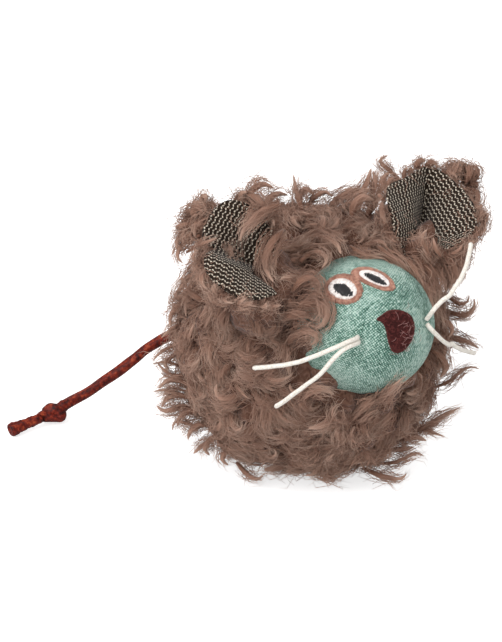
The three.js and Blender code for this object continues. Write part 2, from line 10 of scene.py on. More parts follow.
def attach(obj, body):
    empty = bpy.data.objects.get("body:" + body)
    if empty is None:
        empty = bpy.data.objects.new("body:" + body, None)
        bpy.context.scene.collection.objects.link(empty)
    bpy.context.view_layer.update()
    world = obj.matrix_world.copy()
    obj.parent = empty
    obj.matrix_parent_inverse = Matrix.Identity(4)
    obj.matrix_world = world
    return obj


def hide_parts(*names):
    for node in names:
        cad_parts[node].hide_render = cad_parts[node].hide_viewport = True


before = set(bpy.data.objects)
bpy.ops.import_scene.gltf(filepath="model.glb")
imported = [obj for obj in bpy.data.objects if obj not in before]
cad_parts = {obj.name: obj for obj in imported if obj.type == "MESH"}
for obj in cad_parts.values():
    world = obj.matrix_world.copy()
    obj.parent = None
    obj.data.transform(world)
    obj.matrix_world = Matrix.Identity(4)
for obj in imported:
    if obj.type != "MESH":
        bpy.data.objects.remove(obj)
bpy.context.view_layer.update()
mm = 0.001
print("frame loaded")


# sRGB hex to the linear colour that the shaders take
def colour(code):
    parts = [int(code[i : i + 2], 16) / 255 for i in (1, 3, 5)]
    return [c / 12.92 if c <= 0.04045 else ((c + 0.055) / 1.055) ** 2.4 for c in parts] + [1]


# Gives a node its settings: its own properties, a ramp's stops, or its inputs by name or number. An input given in
# words is fed by the node of that name, and "parts.Y" means its output Y
def setUp(node, settings):
    for name, value in settings.items():
        if name == "stops":
            elements = node.color_ramp.elements
            while len(elements) < len(value):
                elements.new(0.5)
            for element, (place, code) in zip(elements, value):
                element.position = place
                element.color = colour(code)
        elif isinstance(name, str) and hasattr(node, name):
            setattr(node, name, value)
        elif isinstance(value, str):
            source, _, output = value.partition(".")
            node.id_data.links.new(node.id_data.nodes[source].outputs[output or 0], node.inputs[name])
        else:
            node.inputs[name].default_value = value


# Adds one node. In place of settings, an operation may be followed by its inputs in order
def addNode(tree, name, kind, settings, *inputs):
    node = tree.nodes.new("ShaderNode" + kind)
    node.name = name
    setUp(node, {"operation": settings, **dict(enumerate(inputs))} if inputs else settings)


# A material from the sockets of its shader and its other nodes
def newMaterial(name, shader, nodes=()):
    material = bpy.data.materials.new(name)
    material.use_nodes = True
    for node in nodes:
        addNode(material.node_tree, *node)
    setUp(material.node_tree.nodes["Principled BSDF"], shader)
    return material


# A material whose one noise picks the tone from a ramp, and lifts the surface where a relief is given. A noise on
# Object coordinates counts its grains in a metre: 1000 is a grain of 1 mm
def mottled(name, shader, grain, stops, relief=None):
    nodes = [
        ("place", "TexCoord", {}),
        ("grain", "TexNoise", {**grain, "Vector": "place.Object"}),
        ("tone", "ValToRGB", {"stops": stops, "Fac": "grain"}),
    ]
    shader = {**shader, "Base Color": "tone"}
    if relief:
        nodes.append(("relief", "Bump", {**relief, "Height": "grain"}))
        shader["Normal"] = "relief"
    return newMaterial(name, shader, nodes)


def unit(v):
    v = np.asarray(v, float)
    return v / np.maximum(np.linalg.norm(v, axis=-1, keepdims=True), 1e-12)


# What is left of each direction square to an axis
def squareTo(ways, axes):
    return unit(ways - axes * (ways * axes).sum(-1, keepdims=True))


def smoothStep(x, low, high):
    t = np.clip((x - low) / (high - low), 0, 1)
    return t * t * (3 - 2 * t)


# Turns that share out a full circle
def fullTurn(count):
    return np.arange(count) * 2 * np.pi / count


# Directions spread evenly over a ball, on a spiral
def spiralWays(count):
    rise = 1 - (2 * np.arange(count) + 1) / count
    turn = np.arange(count) * math.pi * (3 - math.sqrt(5))
    wide = np.sqrt(1 - rise**2)
    return np.stack([np.cos(turn) * wide, np.sin(turn) * wide, rise], -1)


# A mesh from arrays: quads and triangles index the points, and cornerMaps hold a map's values at each corner
def meshFrom(name, points, quads, triangles, cornerMaps=None):
    mesh = bpy.data.meshes.new(name)
    mesh.vertices.add(len(points))
    mesh.vertices.foreach_set("co", np.asarray(points, np.float32).ravel())
    corners = np.concatenate([quads.ravel(), triangles.ravel()]).astype(np.int32)
    starts = np.concatenate([np.arange(len(quads)) * 4, len(quads) * 4 + np.arange(len(triangles)) * 3])
    mesh.loops.add(len(corners))
    mesh.loops.foreach_set("vertex_index", corners)
    mesh.polygons.add(len(starts))
    mesh.polygons.foreach_set("loop_start", starts.astype(np.int32))
    mesh.update(calc_edges=True)
    for mapName, values in (cornerMaps or {}).items():
        layer = mesh.uv_layers.new(name=mapName)
        layer.data.foreach_set("uv", np.asarray(values, np.float32).ravel())
    mesh.polygons.foreach_set("use_smooth", np.ones(len(starts), bool))
    mesh.validate()
    piece = bpy.data.objects.new(name, mesh)
    bpy.context.scene.collection.objects.link(piece)
    return piece


# The ring and the side of each corner of the quads that join closed rings one after another
def ringCorners(rings, sides):
    k, j = np.meshgrid(np.arange(rings - 1), np.arange(sides), indexing="ij")
    k, j = k.ravel(), j.ravel()
    return np.stack([k, k, k + 1, k + 1], -1), np.stack([j, j + 1, j + 1, j], -1)


def ringQuads(rings, sides):
    ring, side = ringCorners(rings, sides)
    return ring * sides + side % sides


# Two side axes carried along each path without twisting, the first starting near a given side
def carriedSides(paths, firstSide):
    ways = unit(np.gradient(paths, axis=1))
    sides = [squareTo(firstSide, ways[:, 0])]
    for k in range(1, paths.shape[1]):
        sides.append(squareTo(sides[-1], ways[:, k]))
    sides = np.stack(sides, 1)
    return sides, np.cross(ways, sides)


# Closed tubes along many paths at once. radii gives each station's radius, and the last station is the tip.
# wide and flat stretch the section. columns and along fill the map: a strip for each tube, and the way along it
def tubes(name, paths, radii, sides, firstSide, wide=1.0, flat=1.0, columns=None, along=None):
    count, stations = paths.shape[:2]
    across, over = carriedSides(paths, firstSide)
    turns = fullTurn(sides)
    ring = across[:, :-1, None] * (np.cos(turns) * flat)[None, None, :, None]
    ring = ring + over[:, :-1, None] * (np.sin(turns) * wide)[None, None, :, None]
    rings = paths[:, :-1, None] + ring * radii[:, :-1, None, None]
    points = np.concatenate([rings.reshape(count, -1, 3), paths[:, -1:]], 1).reshape(-1, 3)
    last = (stations - 2) * sides
    tip = last + sides
    j = np.arange(sides)
    tips = np.stack([last + j, last + (j + 1) % sides, np.full(sides, tip)], -1)
    bases = np.stack([np.zeros(sides - 2, int), np.arange(2, sides), np.arange(1, sides - 1)], -1)
    shift = np.arange(count)[:, None, None] * (tip + 1)
    quads = (ringQuads(stations - 1, sides)[None] + shift).reshape(-1, 4)
    triangles = (np.concatenate([tips, bases])[None] + shift).reshape(-1, 3)
    maps = None
    if columns is not None:
        low, high = (edge[:, None, None] for edge in columns)

        def cornerMap(station, share):
            u = low + (high - low) * share[None]
            return np.stack([np.broadcast_to(u, (count, *share.shape)), along[:, station]], -1).reshape(count, -1, 2)

        station, side = ringCorners(stations - 1, sides)
        quadMap = cornerMap(station, side / sides)
        tipMap = cornerMap(
            np.tile([stations - 2, stations - 2, stations - 1], (sides, 1)), np.stack([j, j + 1, j + 0.5], -1) / sides,
        )
        baseMap = cornerMap(np.zeros((sides - 2, 3), int), bases / sides)
        triangleMap = np.concatenate([tipMap, baseMap], 1)
        maps = {"OFBake": np.concatenate([quadMap.reshape(-1, 2), triangleMap.reshape(-1, 2)])}
    return meshFrom(name, points, quads, triangles, maps)


# A smooth line through given points, with as many steps between each two. A closed one returns to its start
def smoothRoute(points, steps, closed=False):
    p = np.asarray(points, float)
    p = np.concatenate([p[-1:], p, p[:2]] if closed else [[2 * p[0] - p[1]], p, [2 * p[-1] - p[-2]]])
    t = np.arange(steps)[:, None] / steps
    samples = [
        b + 0.5 * t * (c - a + t * (2 * a - 5 * b + 4 * c - d + t * (3 * (b - c) + d - a)))
        for a, b, c, d in zip(p, p[1:], p[2:], p[3:])
    ]
    return np.concatenate(samples if closed else [*samples, p[-2:-1]])


def routeLength(line):
    return float(np.linalg.norm(np.diff(line, axis=0), axis=1).sum())


def dress(piece, material, body, slot, *nodes):
    piece.data.materials.clear()
    piece.data.materials.append(material)
    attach(piece, body)
    if nodes:
        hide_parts(*nodes)
    return piece


# Selects these pieces and no others, the first one active
def selectOnly(*pieces):
    bpy.ops.object.select_all(action="DESELECT")
    for piece in pieces:
        piece.select_set(True)
    if pieces:
        bpy.context.view_layer.objects.active = pieces[0]


def addBall(name, segments, rings):
    selectOnly()
    bpy.ops.mesh.primitive_uv_sphere_add(segments=segments, ring_count=rings, radius=1, location=(0, 0, 0))
    ball = bpy.context.object
    ball.name = name
    return ball


# Camera at the photograph's angle: aim is the point of the toy behind the middle of the picture
view = {"azimuthDeg": -32, "elevationDeg": 30, "distance": 1.0, "aim": (-0.0150, 0.01273, 0.0485), "lens": 168.22}

turn = math.radians(view["azimuthDeg"])
tilt = math.radians(view["elevationDeg"])
toCamera = np.array([math.sin(turn) * math.cos(tilt), -math.cos(turn) * math.cos(tilt), math.sin(tilt)])
toRight = np.array([math.cos(turn), math.sin(turn), 0])
toTop = np.cross(toCamera, toRight)
bpy.ops.object.camera_add(
    location=np.array(view["aim"]) + toCamera * view["distance"],
    rotation=(math.pi / 2 - tilt, 0, turn),
)
camera = bpy.context.object
camera.data.lens = view["lens"]
camera.data.clip_start = 0.05
bpy.context.scene.camera = camera
print("camera set")


# Whiskers: waxed cotton cord, two from each cheek. The points are the part's own, in mm, with each pair drawn
# together at its hole
whisker = {
    "diameter": 1.5 * mm, "sides": 14, "steps": 4, "plyDepth": 0.16, "twistPerMm": 0.09,
    "flare": 0.12, "blunting": 0.5, "wobble": 0.03,
}
whiskerRoutes = {
    "right_upper": [
        (-14.08, -48.97, 72.61), (-15.3, -50.29, 73.19), (-18.89, -51.18, 73.58), (-21.49, -50.82, 72.92),
        (-23.7, -49.7, 71.8), (-25.8, -48.3, 70.5), (-27.7, -46.8, 69.2), (-29.5, -45.2, 67.9),
        (-31.4, -43.6, 66.6), (-33.2, -41.8, 65.5), (-35.1, -40, 64.6), (-36.9, -38.1, 63.8), (-38.7, -36.1, 63),
        (-40.5, -34.1, 62.3), (-42.3, -32.1, 61.6),
    ],
    "right_lower": [
        (-14.08, -49.59, 71.23), (-15.3, -50.91, 71.81), (-18.81, -51.72, 72.12), (-21.31, -51.28, 71.08),
        (-23.1, -50.5, 69.2), (-24.6, -49.7, 67.1), (-26.1, -49.1, 65), (-27.7, -48.4, 62.9), (-29.4, -47.4, 61.1),
        (-31, -46.2, 59.3), (-32.7, -45.1, 57.5), (-34.3, -43.9, 55.7), (-35.9, -42.8, 53.9), (-37.5, -41.6, 52.1),
        (-39.2, -40.3, 50.4),
    ],
    "left_upper": [
        (10.54, -51.5, 72.7), (11, -52, 73.8), (11.6, -53.2, 76.2), (13.2, -53.6, 78.1), (15.3, -53.7, 79.6),
        (17.4, -53.8, 80.3), (19.2, -53.3, 81.6), (21.1, -52.7, 82.8), (22.9, -52, 83.9), (24.6, -51.1, 85.1),
        (26.3, -50, 86.2), (27.8, -48.8, 87.4), (29.2, -47.5, 88.6), (30.6, -46.2, 89.9), (31.9, -44.8, 91.1),
    ],
    "left_lower": [
        (10.53, -51.9, 71.2), (10.7, -52.9, 70.6), (11.4, -54.1, 69.4), (13, -54.3, 67.4), (14.9, -54, 65.2),
        (16.9, -53.5, 63.1), (19, -52.7, 61.3), (21.1, -51.2, 60.3), (23.1, -50.2, 58.3), (25.2, -49.1, 56.4),
        (27.4, -48, 54.5), (29.7, -46.7, 52.8), (32, -45.5, 51.1), (34.4, -44.2, 49.4), (36.8, -42.8, 47.7),
    ],
}


# Points round a place on a cord, one at each turn with its own radius
def ringAt(place, across, over, turns, radii):
    return place + across * (np.cos(turns) * radii)[:, None] + over * (np.sin(turns) * radii)[:, None]


# A closed tube from rings of points and the middles of its two ends
def closedTube(name, rings, middles):
    points = np.concatenate([*rings, middles])
    count, sides = len(rings), len(rings[0])
    j = np.arange(sides)
    after = (j + 1) % sides
    base = (count - 1) * sides
    start = np.stack([np.full(sides, len(points) - 2), after, j], -1)
    end = np.stack([np.full(sides, len(points) - 1), base + j, base + after], -1)
    return meshFrom(name, points, ringQuads(count, sides), np.concatenate([start, end]))


# A cord whose section is set station by station: sectionAt gives the radius at each angle
def cordTube(name, line, sides, sectionAt, firstSide):
    across, over = carriedSides(line[None], np.array([firstSide], float))
    turns = fullTurn(sides)
    rings = [
        ringAt(p, across[0, k], over[0, k], turns, sectionAt(k / (len(line) - 1), turns)) for k, p in enumerate(line)
    ]
    return closedTube(name, rings, line[[0, -1]])


# Two plies show as a groove, and both ends are cut square with a slight flare
def whiskerSection(share, turns, plies, length):
    twist = share * length / mm * whisker["twistPerMm"]
    groove = whisker["plyDepth"] * (1 - np.abs(np.cos(turns - twist))) ** 3 if plies == 2 else 0
    end = 1 + whisker["flare"] * smoothStep(share, 0.96, 1) - whisker["blunting"] * smoothStep(share, 0.994, 1)
    wobble = 1 + whisker["wobble"] * np.sin(share * 40 + turns)
    return whisker["diameter"] / 2 * (1 - groove) * end * wobble


# Waxed cotton: soft white plies under a thin wax film, so it is smooth with a low gloss
cotton = mottled(
    "waxed_cotton", {"Roughness": 0.55, "Specular IOR Level": 0.35, "Sheen Weight": 0.1}, {"Scale": 1800, "Detail": 3},
    [(0.3, "#cdc4b8"), (0.6, "#eae4db")], {"Strength": 0.25, "Distance": 0.1 * mm},
)
for hand, route in whiskerRoutes.items():
    line = smoothRoute(np.array(route) * mm, whisker["steps"])
    length = routeLength(line)
    plies = 2 if hand.endswith("lower") else 1
    piece = cordTube(
        f"whisker_cord_{hand}", line, whisker["sides"],
        lambda share, turns: whiskerSection(share, turns, plies, length), (0.3, 0.2, 1),
    )
    dress(piece, cotton, "body", "waxed_cotton", f"whisker_{hand}")
print("whiskers made")


# Tail: a strip of leather rolled into a cord, knotted near its end. The points are the part's own, in mm
tail = {
    "diameter": 3.3 * mm, "sides": 28, "steps": 7, "firstSide": (0.2, -1, 0.4), "roll": 1.12, "seamDepth": 0.22,
    "seamWidth": 0.3, "knotHalf": 4.6 * mm, "knotCord": 1.95 * mm, "knotAcross": 0.9 * mm, "knotSag": 0.5 * mm,
    "knotReach": 2.05, "knotSettles": 1.45, "knotShares": (0.95, 0.78, 1.1), "endLength": 11.5 * mm,
    "endFlare": 0.5 * mm, "endInKnot": 0.6 * mm, "gap": 0.3 * mm, "endGap": 0.75 * mm,
    "boreRadius": 1.05 * mm, "boreDepth": 3.5 * mm,
}
tailRoute = [
    (0, 43.5, 31.5), (-2.6, 45, 31.1), (-5.5, 46.5, 30.5), (-8.8, 48, 29.8), (-12.4, 49.4, 28.9),
    (-16.2, 50.8, 27.8), (-20.2, 52.1, 26.4), (-24.2, 53.3, 24.9), (-28, 54.3, 23.3), (-31.8, 55.3, 21),
    (-35.6, 56.4, 18.1), (-39.3, 57.4, 15.3), (-44.6, 58.6, 12.3), (-50.1, 59.5, 9.3), (-55.6, 60.1, 7.3),
    (-61, 60.2, 6),
]

# Rolled vegetable-tanned leather: dyed red-brown, darker in the seam, with a broken gloss on its ridges
leather = newMaterial(
    "rolled_leather",
    {"Specular IOR Level": 0.22, "Base Color": "tone", "Roughness": "gloss", "Normal": "relief"},
    [
        ("place", "TexCoord", {}),
        ("broad", "TexNoise", {"Scale": 620, "Detail": 5, "Roughness": 0.65, "Vector": "place.Object"}),
        ("fine", "TexNoise", {"Scale": 1500, "Detail": 3, "Vector": "place.Object"}),
        ("tone", "ValToRGB", {
            "stops": [(0.34, "#280504"), (0.46, "#541108"), (0.56, "#742110"), (0.68, "#a04626")], "Fac": "broad",
        }),
        ("gloss", "MapRange", {"To Min": 0.38, "To Max": 0.65, "Value": "fine"}),
        ("little", "Math", "MULTIPLY", "fine", 0.35),
        ("both", "Math", "ADD", "broad", "little"),
        ("relief", "Bump", {"Strength": 0.7, "Distance": 0.35 * mm, "Height": "both"}),
    ],
)


# The seam's groove drifts round the cord, and the roll is a little uneven
def leatherSection(share, turns, start=0.0, drift=1.4, depth=tail["seamDepth"]):
    away = np.angle(np.exp(1j * (turns - (start + drift * share))))
    groove = depth * np.exp(-((away / tail["seamWidth"]) ** 2))
    uneven = 0.05 * np.sin(share * 23 + turns * 2) + 0.04 * np.sin(share * 51 + 1 + turns)
    return tail["diameter"] / 2 * (tail["roll"] - groove + uneven)


tailPoints = np.array(tailRoute) * mm
tailLine = smoothRoute(tailPoints, tail["steps"])
tailCord = cordTube("tail_leather_cord", tailLine, tail["sides"], leatherSection, tail["firstSide"])
dress(tailCord, leather, "tail", "rolled_leather", "tail_cord")

# Overhand knot on a trefoil line, drawn tight: its two ends run into the cord and the free end
tailAim = unit(tailPoints[-1] - tailPoints[-2])
knotMiddle = tailPoints[-1] + tailAim * (tail["knotHalf"] + tail["gap"])
knotUp = squareTo(np.array([0, 0, 1]), tailAim)
t = np.linspace(-tail["knotReach"], tail["knotReach"], 90)
settle = smoothStep(np.abs(t), tail["knotSettles"], tail["knotReach"])
alongShare, upShare, sideShare = tail["knotShares"]
knotAlong = (t**3 - 3 * t) * tail["knotAcross"] * alongShare * (1 - settle) + np.sign(t) * tail["knotHalf"] * settle
knotRise = ((t**4 - 4 * t**2 + 2) * tail["knotAcross"] * upShare - tail["knotSag"]) * (1 - settle)
knotAside = (t**5 / 5 - 2 * t) * tail["knotAcross"] * sideShare * (1 - settle)
knotAxes = np.array([tailAim, knotUp, np.cross(tailAim, knotUp)])
knotLine = knotMiddle + np.stack([knotAlong, knotRise, knotAside], -1) @ knotAxes


def knotSection(share, turns):
    swell = 1 - 0.1 * smoothStep(abs(share - 0.5), 0.36, 0.5)
    return leatherSection(share, turns, 2.0, 3.0, 0.1) / (tail["diameter"] / 2) * tail["knotCord"] * swell


knotPiece = cordTube("tail_overhand_knot", knotLine, 20, knotSection, (0.1, 0.3, 1))
dress(knotPiece, leather, "tail", "rolled_leather", "tail_knot")


# Free end: the roll opens into a hollow at the cut, and comes down to the ground
def freeEnd():
    start = knotMiddle + tailAim * (tail["knotHalf"] + tail["endGap"])
    aim = unit([tailAim[0], tailAim[1], 0])
    aim[2] = (tail["diameter"] / 2 + tail["endFlare"] + tail["gap"] - start[2]) / tail["endLength"]
    aim = unit(aim)
    start = start - aim * tail["endInKnot"]
    across = unit(np.cross(aim, tail["firstSide"]))
    over = np.cross(aim, across)
    turns = fullTurn(tail["sides"])
    rings = []
    for share in np.linspace(0, 1, 26):
        r = leatherSection(share, turns, -0.7, 0.5, 0.18 + 0.3 * share) * (0.86 + 0.14 * smoothStep(share, 0, 0.25))
        r = r * (1 + tail["endFlare"] / (tail["diameter"] / 2) * smoothStep(share, 0.45, 0.95))
        r = r * (1 - 0.12 * smoothStep(share, 0.97, 1))
        cut = start + aim * (tail["endLength"] + tail["endInKnot"]) * share
        rings.append(ringAt(cut, across, over, turns, r))
    for depth, width in ((0, 1.25), (0.3, 1), (1, 0.75)):
        r = tail["boreRadius"] * width * (1 + 0.25 * np.cos(turns + 0.7))
        bottom = cut - aim * tail["boreDepth"] * depth
        rings.append(ringAt(bottom, across, over, turns, r))
    return closedTube("tail_free_end", rings, [start, bottom])


tailEnd = dress(freeEnd(), leather, "tail", "rolled_leather", "tail_end")
print("tail made")


# Body form, the same swellings as the part's: a ball, the head and a mound under each ear
body = {
    "ballRadius": 47 * mm, "headRadius": 28.2 * mm, "head": (0, -21 * mm, 14 * mm),
    "moundRadius": 18 * mm, "mound": (28.5 * mm, -14.5 * mm, 34 * mm),
    "bellyRadius": 300 * mm, "bellyDrop": 44.5 * mm, "settleDepth": 0.5 * mm,
    "swell": 16, "settle": 24, "rootDepth": 8.2 * mm, "underfurDepth": 3 * mm, "underfurLumps": 0.6 * mm,
    "lumpsInRadius": 14, "underfurFloor": 0.6 * mm, "tuftSpacing": 13 * mm, "hollow": 3.8 * mm,
    "hollowShares": (0.12, 0.56), "fadeShares": (-0.85, -0.5),
}
moundLeft = np.array(body["mound"])
lumps = [
    (np.zeros(3), body["ballRadius"]),
    (np.array(body["head"]), body["headRadius"]),
    (moundLeft, body["moundRadius"]),
    (moundLeft * [-1, 1, 1], body["moundRadius"]),
]


def exitDistance(ways, centre, radius):
    along = ways @ centre
    inside = along**2 - centre @ centre + radius**2
    return np.where(inside > 0, np.maximum(along + np.sqrt(np.maximum(inside, 0)), 0), 0)


# Distance from the body's centre to its skin, along each way, at a depth under the pile's surface
def skinDistance(ways, depth):
    swell = sum((exitDistance(ways, c, r - depth) / body["ballRadius"]) ** body["swell"] for c, r in lumps)
    middle = np.array([0, 0, body["bellyRadius"] - body["bellyDrop"]])
    belly = exitDistance(ways, middle, body["bellyRadius"] - depth) / body["ballRadius"]
    both = (swell ** (1 / body["swell"])) ** -body["settle"] + belly ** -body["settle"]
    return body["ballRadius"] * both ** (-1 / body["settle"])


bodyHeight = float(skinDistance(np.array([[0, 0, -1.0]]), 0)[0]) - body["settleDepth"]
bodyCentre = np.array([0, 0, bodyHeight])


def skinPoint(ways, depth):
    return bodyCentre + ways * skinDistance(ways, depth)[:, None]


# Two directions along the skin at each way
def sideWays(ways):
    first = unit(np.cross(ways, [0.31, 0.17, 0.94]))
    return first, np.cross(ways, first)


def skinNormal(ways, depth):
    step = 0.02
    spans = [
        skinPoint(unit(ways + side * step), depth) - skinPoint(unit(ways - side * step), depth)
        for side in sideWays(ways)
    ]
    normal = unit(np.cross(*spans))
    return normal * np.sign((normal * ways).sum(-1, keepdims=True))


tuftCount = round(math.pi * (2 * body["ballRadius"] / body["tuftSpacing"]) ** 2)
tuftWays = spiralWays(tuftCount)


# How far the pile's surface lies in between the tufts, as in the part
def hollowDepth(ways):
    nearest = np.sqrt(np.maximum(2 - 2 * (ways @ tuftWays.T).max(-1), 0))
    hollow = smoothStep(nearest * body["ballRadius"] / body["tuftSpacing"], *body["hollowShares"])
    return body["hollow"] * hollow * smoothStep(ways[:, 2], *body["fadeShares"])


# Dense underfur between the locks: the same fibre, short and matted. Its darker tone is partly its own and partly
# painted shade in the gaps between the locks
underfur = mottled(
    "dense_underfur", {"Roughness": 0.95, "Specular IOR Level": 0.1, "Sheen Weight": 0.2},
    {"Scale": 500, "Detail": 5, "Distortion": 1.2}, [(0.3, "#4a3026"), (0.52, "#694b3e"), (0.72, "#846455")],
    {"Strength": 1.0, "Distance": 0.9 * mm},
)
skin = addBall("fur_underlayer", 192, 110)
skinWays = unit(np.array([v.co for v in skin.data.vertices]))
lumpy = np.array([noise.noise(Vector(way * body["lumpsInRadius"])) for way in skinWays])
skinReach = skinDistance(skinWays, body["underfurDepth"]) - hollowDepth(skinWays) + lumpy * body["underfurLumps"]
skinPlaces = bodyCentre + skinWays * skinReach[:, None]
skinPlaces[:, 2] = np.maximum(skinPlaces[:, 2], body["underfurFloor"])
bpy.ops.object.shade_smooth()
dress(skin, underfur, "body", "pile_fabric", "fur_panel_left", "fur_panel_right", "fur_panel_belly")
print("underfur made")


# Face: a linen dome gathered into the head, wider where it goes in under the fur
face = {
    "radius": 21.5 * mm, "middle": (0, -34.1 * mm, 21.6 * mm), "pitchDeg": 24.3, "cloth": 0.9 * mm,
    "edgeGrowth": 2.6 * mm, "growFromDeg": 82, "growToDeg": 118, "cutDeg": 128,
    "yarn": 0.75 * mm, "grainDeg": 24, "cheekDent": 0.7 * mm, "cheekReach": 2.6 * mm,
}
faceMiddle = np.array(face["middle"]) + bodyCentre
pitch = math.radians(face["pitchDeg"])
noseAxis = np.array([0, -math.cos(pitch), math.sin(pitch)])
faceLevel = np.array([1.0, 0, 0])
faceUp = np.cross(noseAxis, faceLevel)
cheeks = [np.array(whiskerRoutes[f"{side}_upper"][0]) * mm for side in ("left", "right")]


def faceRadiusAt(ways):
    lean = np.degrees(np.arccos(np.clip(ways @ noseAxis, -1, 1)))
    grown = face["radius"] + face["edgeGrowth"] * smoothStep(lean, face["growFromDeg"], face["growToDeg"])
    for cheek in cheeks:
        gap = np.linalg.norm(ways - unit(cheek - faceMiddle), axis=-1) * face["radius"]
        grown = grown - face["cheekDent"] * np.exp(-((gap / face["cheekReach"]) ** 2))
    return grown


# A direction over the dome from distances along its surface, measured from an axis
def overDome(axis, level, up, across, over):
    reach = np.maximum(np.hypot(across, over), 1e-9)
    side = level * (across / reach)[..., None] + up * (over / reach)[..., None]
    bend = reach / face["radius"]
    return axis * np.cos(bend)[..., None] + side * np.sin(bend)[..., None]


def domeFrame(across, over):
    axis = overDome(noseAxis, faceLevel, faceUp, np.array(across), np.array(over))
    level = squareTo(faceLevel, axis)
    return axis, level, np.cross(axis, level)


def onDome(axes, across, over, lift):
    ways = overDome(*axes, np.asarray(across, float), np.asarray(over, float))
    return faceMiddle + ways * (faceRadiusAt(ways) + lift)[..., None]


# Coarse linen in plain weave: mint yarns that waver, some stitches pale and some dark. Each yarn's tone follows its
# height: painted highlight on its crown and painted shade in the gaps between yarns. The map counts yarns, so a
# scale of 1 is one yarn
linen = newMaterial(
    "mint_linen",
    {"Roughness": 0.85, "Specular IOR Level": 0.25, "Sheen Weight": 0.15, "Base Color": "tone", "Normal": "relief"},
    [
        ("flat", "UVMap", {"uv_map": "clothMap"}),
        ("waver", "TexNoise", {"Scale": 0.5, "Detail": 2, "Vector": "flat"}),
        ("moved", "VectorMath", "MULTIPLY_ADD", "waver.Color", (1.5, 1.5, 0), (-0.75, -0.75, 0)),
        ("cloth", "VectorMath", "ADD", "flat", "moved"),
        ("parts", "SeparateXYZ", {"Vector": "cloth"}),
        ("warpShare", "Math", "FRACT", "parts.X"),
        ("warpTurn", "Math", "MULTIPLY", "warpShare", math.pi),
        ("warpRound", "Math", "SINE", "warpTurn"),
        ("weftShare", "Math", "FRACT", "parts.Y"),
        ("weftTurn", "Math", "MULTIPLY", "weftShare", math.pi),
        ("weftRound", "Math", "SINE", "weftTurn"),
        ("weave", "TexChecker", {"Scale": 1, "Vector": "cloth"}),
        ("warpFull", "Math", "POWER", "warpRound", 0.9),
        ("weftFlat", "Math", "POWER", "weftRound", 0.4),
        ("warpTop", "Math", "MULTIPLY", "warpFull", "weftFlat"),
        ("weftFull", "Math", "POWER", "weftRound", 0.9),
        ("warpFlat", "Math", "POWER", "warpRound", 0.4),
        ("weftTop", "Math", "MULTIPLY", "weftFull", "warpFlat"),
        ("height", "Mix", {"data_type": "FLOAT", 0: "weave.Fac", 2: "warpTop", 3: "weftTop"}),
        ("cell", "VectorMath", "FLOOR", "cloth"),
        ("stitch", "TexWhiteNoise", {"noise_dimensions": "2D", "Vector": "cell"}),
        ("slubs", "TexNoise", {"Scale": 0.7, "Detail": 2, "Vector": "flat"}),
        ("broad", "TexNoise", {"Scale": 0.07, "Detail": 2, "Vector": "flat"}),
        # The yarn's height lightens its crown and darkens its edges: painted highlight and painted shade
        ("litRound", "Math", "MULTIPLY", "height", 0.46),
        ("stitchShare", "Math", "MULTIPLY", "stitch.Value", 0.2),
        ("litStitch", "Math", "ADD", "litRound", "stitchShare"),
        ("slubShare", "Math", "MULTIPLY", "slubs", 0.44),
        ("litSlubs", "Math", "ADD", "litStitch", "slubShare"),
        ("broadShare", "Math", "MULTIPLY", "broad", 0.5),
        ("lit", "Math", "ADD", "litSlubs", "broadShare"),
        ("tone", "ValToRGB", {"Fac": "lit", "stops": [
            (0.52, "#1c3b31"), (0.67, "#3c6657"), (0.81, "#71998a"), (0.91, "#96b5a8"), (1.0, "#bbd0c6"),
        ]}),
        ("relief", "Bump", {"Strength": 0.75, "Distance": 0.25 * mm, "Height": "height"}),
    ],
)


# Where the linen's yarns run at a direction over the dome, counted in yarns from well outside it
def yarnPlace(way):
    bend = math.acos(max(-1, min(1, way @ noseAxis)))
    side = way - noseAxis * (way @ noseAxis)
    side = side / max(np.linalg.norm(side), 1e-9)
    along, over = bend * (side @ faceLevel), bend * (side @ faceUp)
    grain = math.radians(face["grainDeg"])
    scale = face["radius"] / face["yarn"]
    return (
        (along * math.cos(grain) + over * math.sin(grain)) * scale + 200,
        (over * math.cos(grain) - along * math.sin(grain)) * scale + 200,
    )


dome = addBall("face_linen", 160, 90)
dome.data.transform(Matrix.Rotation(math.pi / 2 + pitch, 4, "X"))
form = bmesh.new()
form.from_mesh(dome.data)
hidden = [v for v in form.verts if math.degrees(v.co.normalized().angle(Vector(noseAxis))) > face["cutDeg"]]
bmesh.ops.delete(form, geom=hidden, context="VERTS")
for v in form.verts:
    way = unit(np.array(v.co))
    v.co = Vector(faceMiddle + way * float(faceRadiusAt(way[None])[0]))
clothMap = form.loops.layers.uv.new("clothMap")
for f in form.faces:
    for corner in f.loops:
        corner[clothMap].uv = yarnPlace(unit(np.array(corner.vert.co) - faceMiddle))
bmesh.ops.recalc_face_normals(form, faces=form.faces)
form.to_mesh(dome.data)
form.free()
bpy.ops.object.shade_smooth()
wall = dome.modifiers.new("wall", "SOLIDIFY")
wall.thickness = face["cloth"]
wall.offset = -1
selectOnly(dome)
bpy.ops.object.modifier_apply(modifier="wall")
dress(dome, linen, "body", "linen", "face_panel")
print("face made")


# Nose: a felt teardrop, its outline in shares of its width and height
nose = {
    "wide": 11.3 * mm, "tall": 14.3 * mm, "across": -1.5 * mm, "over": -0.6 * mm, "thick": 1.5 * mm, "rings": 14,
    "fibres": 34, "fibreRadius": 0.055 * mm, "fibreHalf": (0.7 * mm, 1.9 * mm), "fibreBend": 0.5 * mm,
}
noseOutlineShares = [
    (-0.57, 0.38), (-0.36, 0.46), (-0.14, 0.5), (0.11, 0.46), (0.34, 0.37), (0.48, 0.23),
    (0.5, 0.02), (0.42, -0.18), (0.25, -0.35), (0.05, -0.46), (-0.14, -0.5), (-0.31, -0.42),
    (-0.38, -0.25), (-0.4, -0.08), (-0.4, 0.11), (-0.44, 0.27),
]
rng = np.random.default_rng(11)


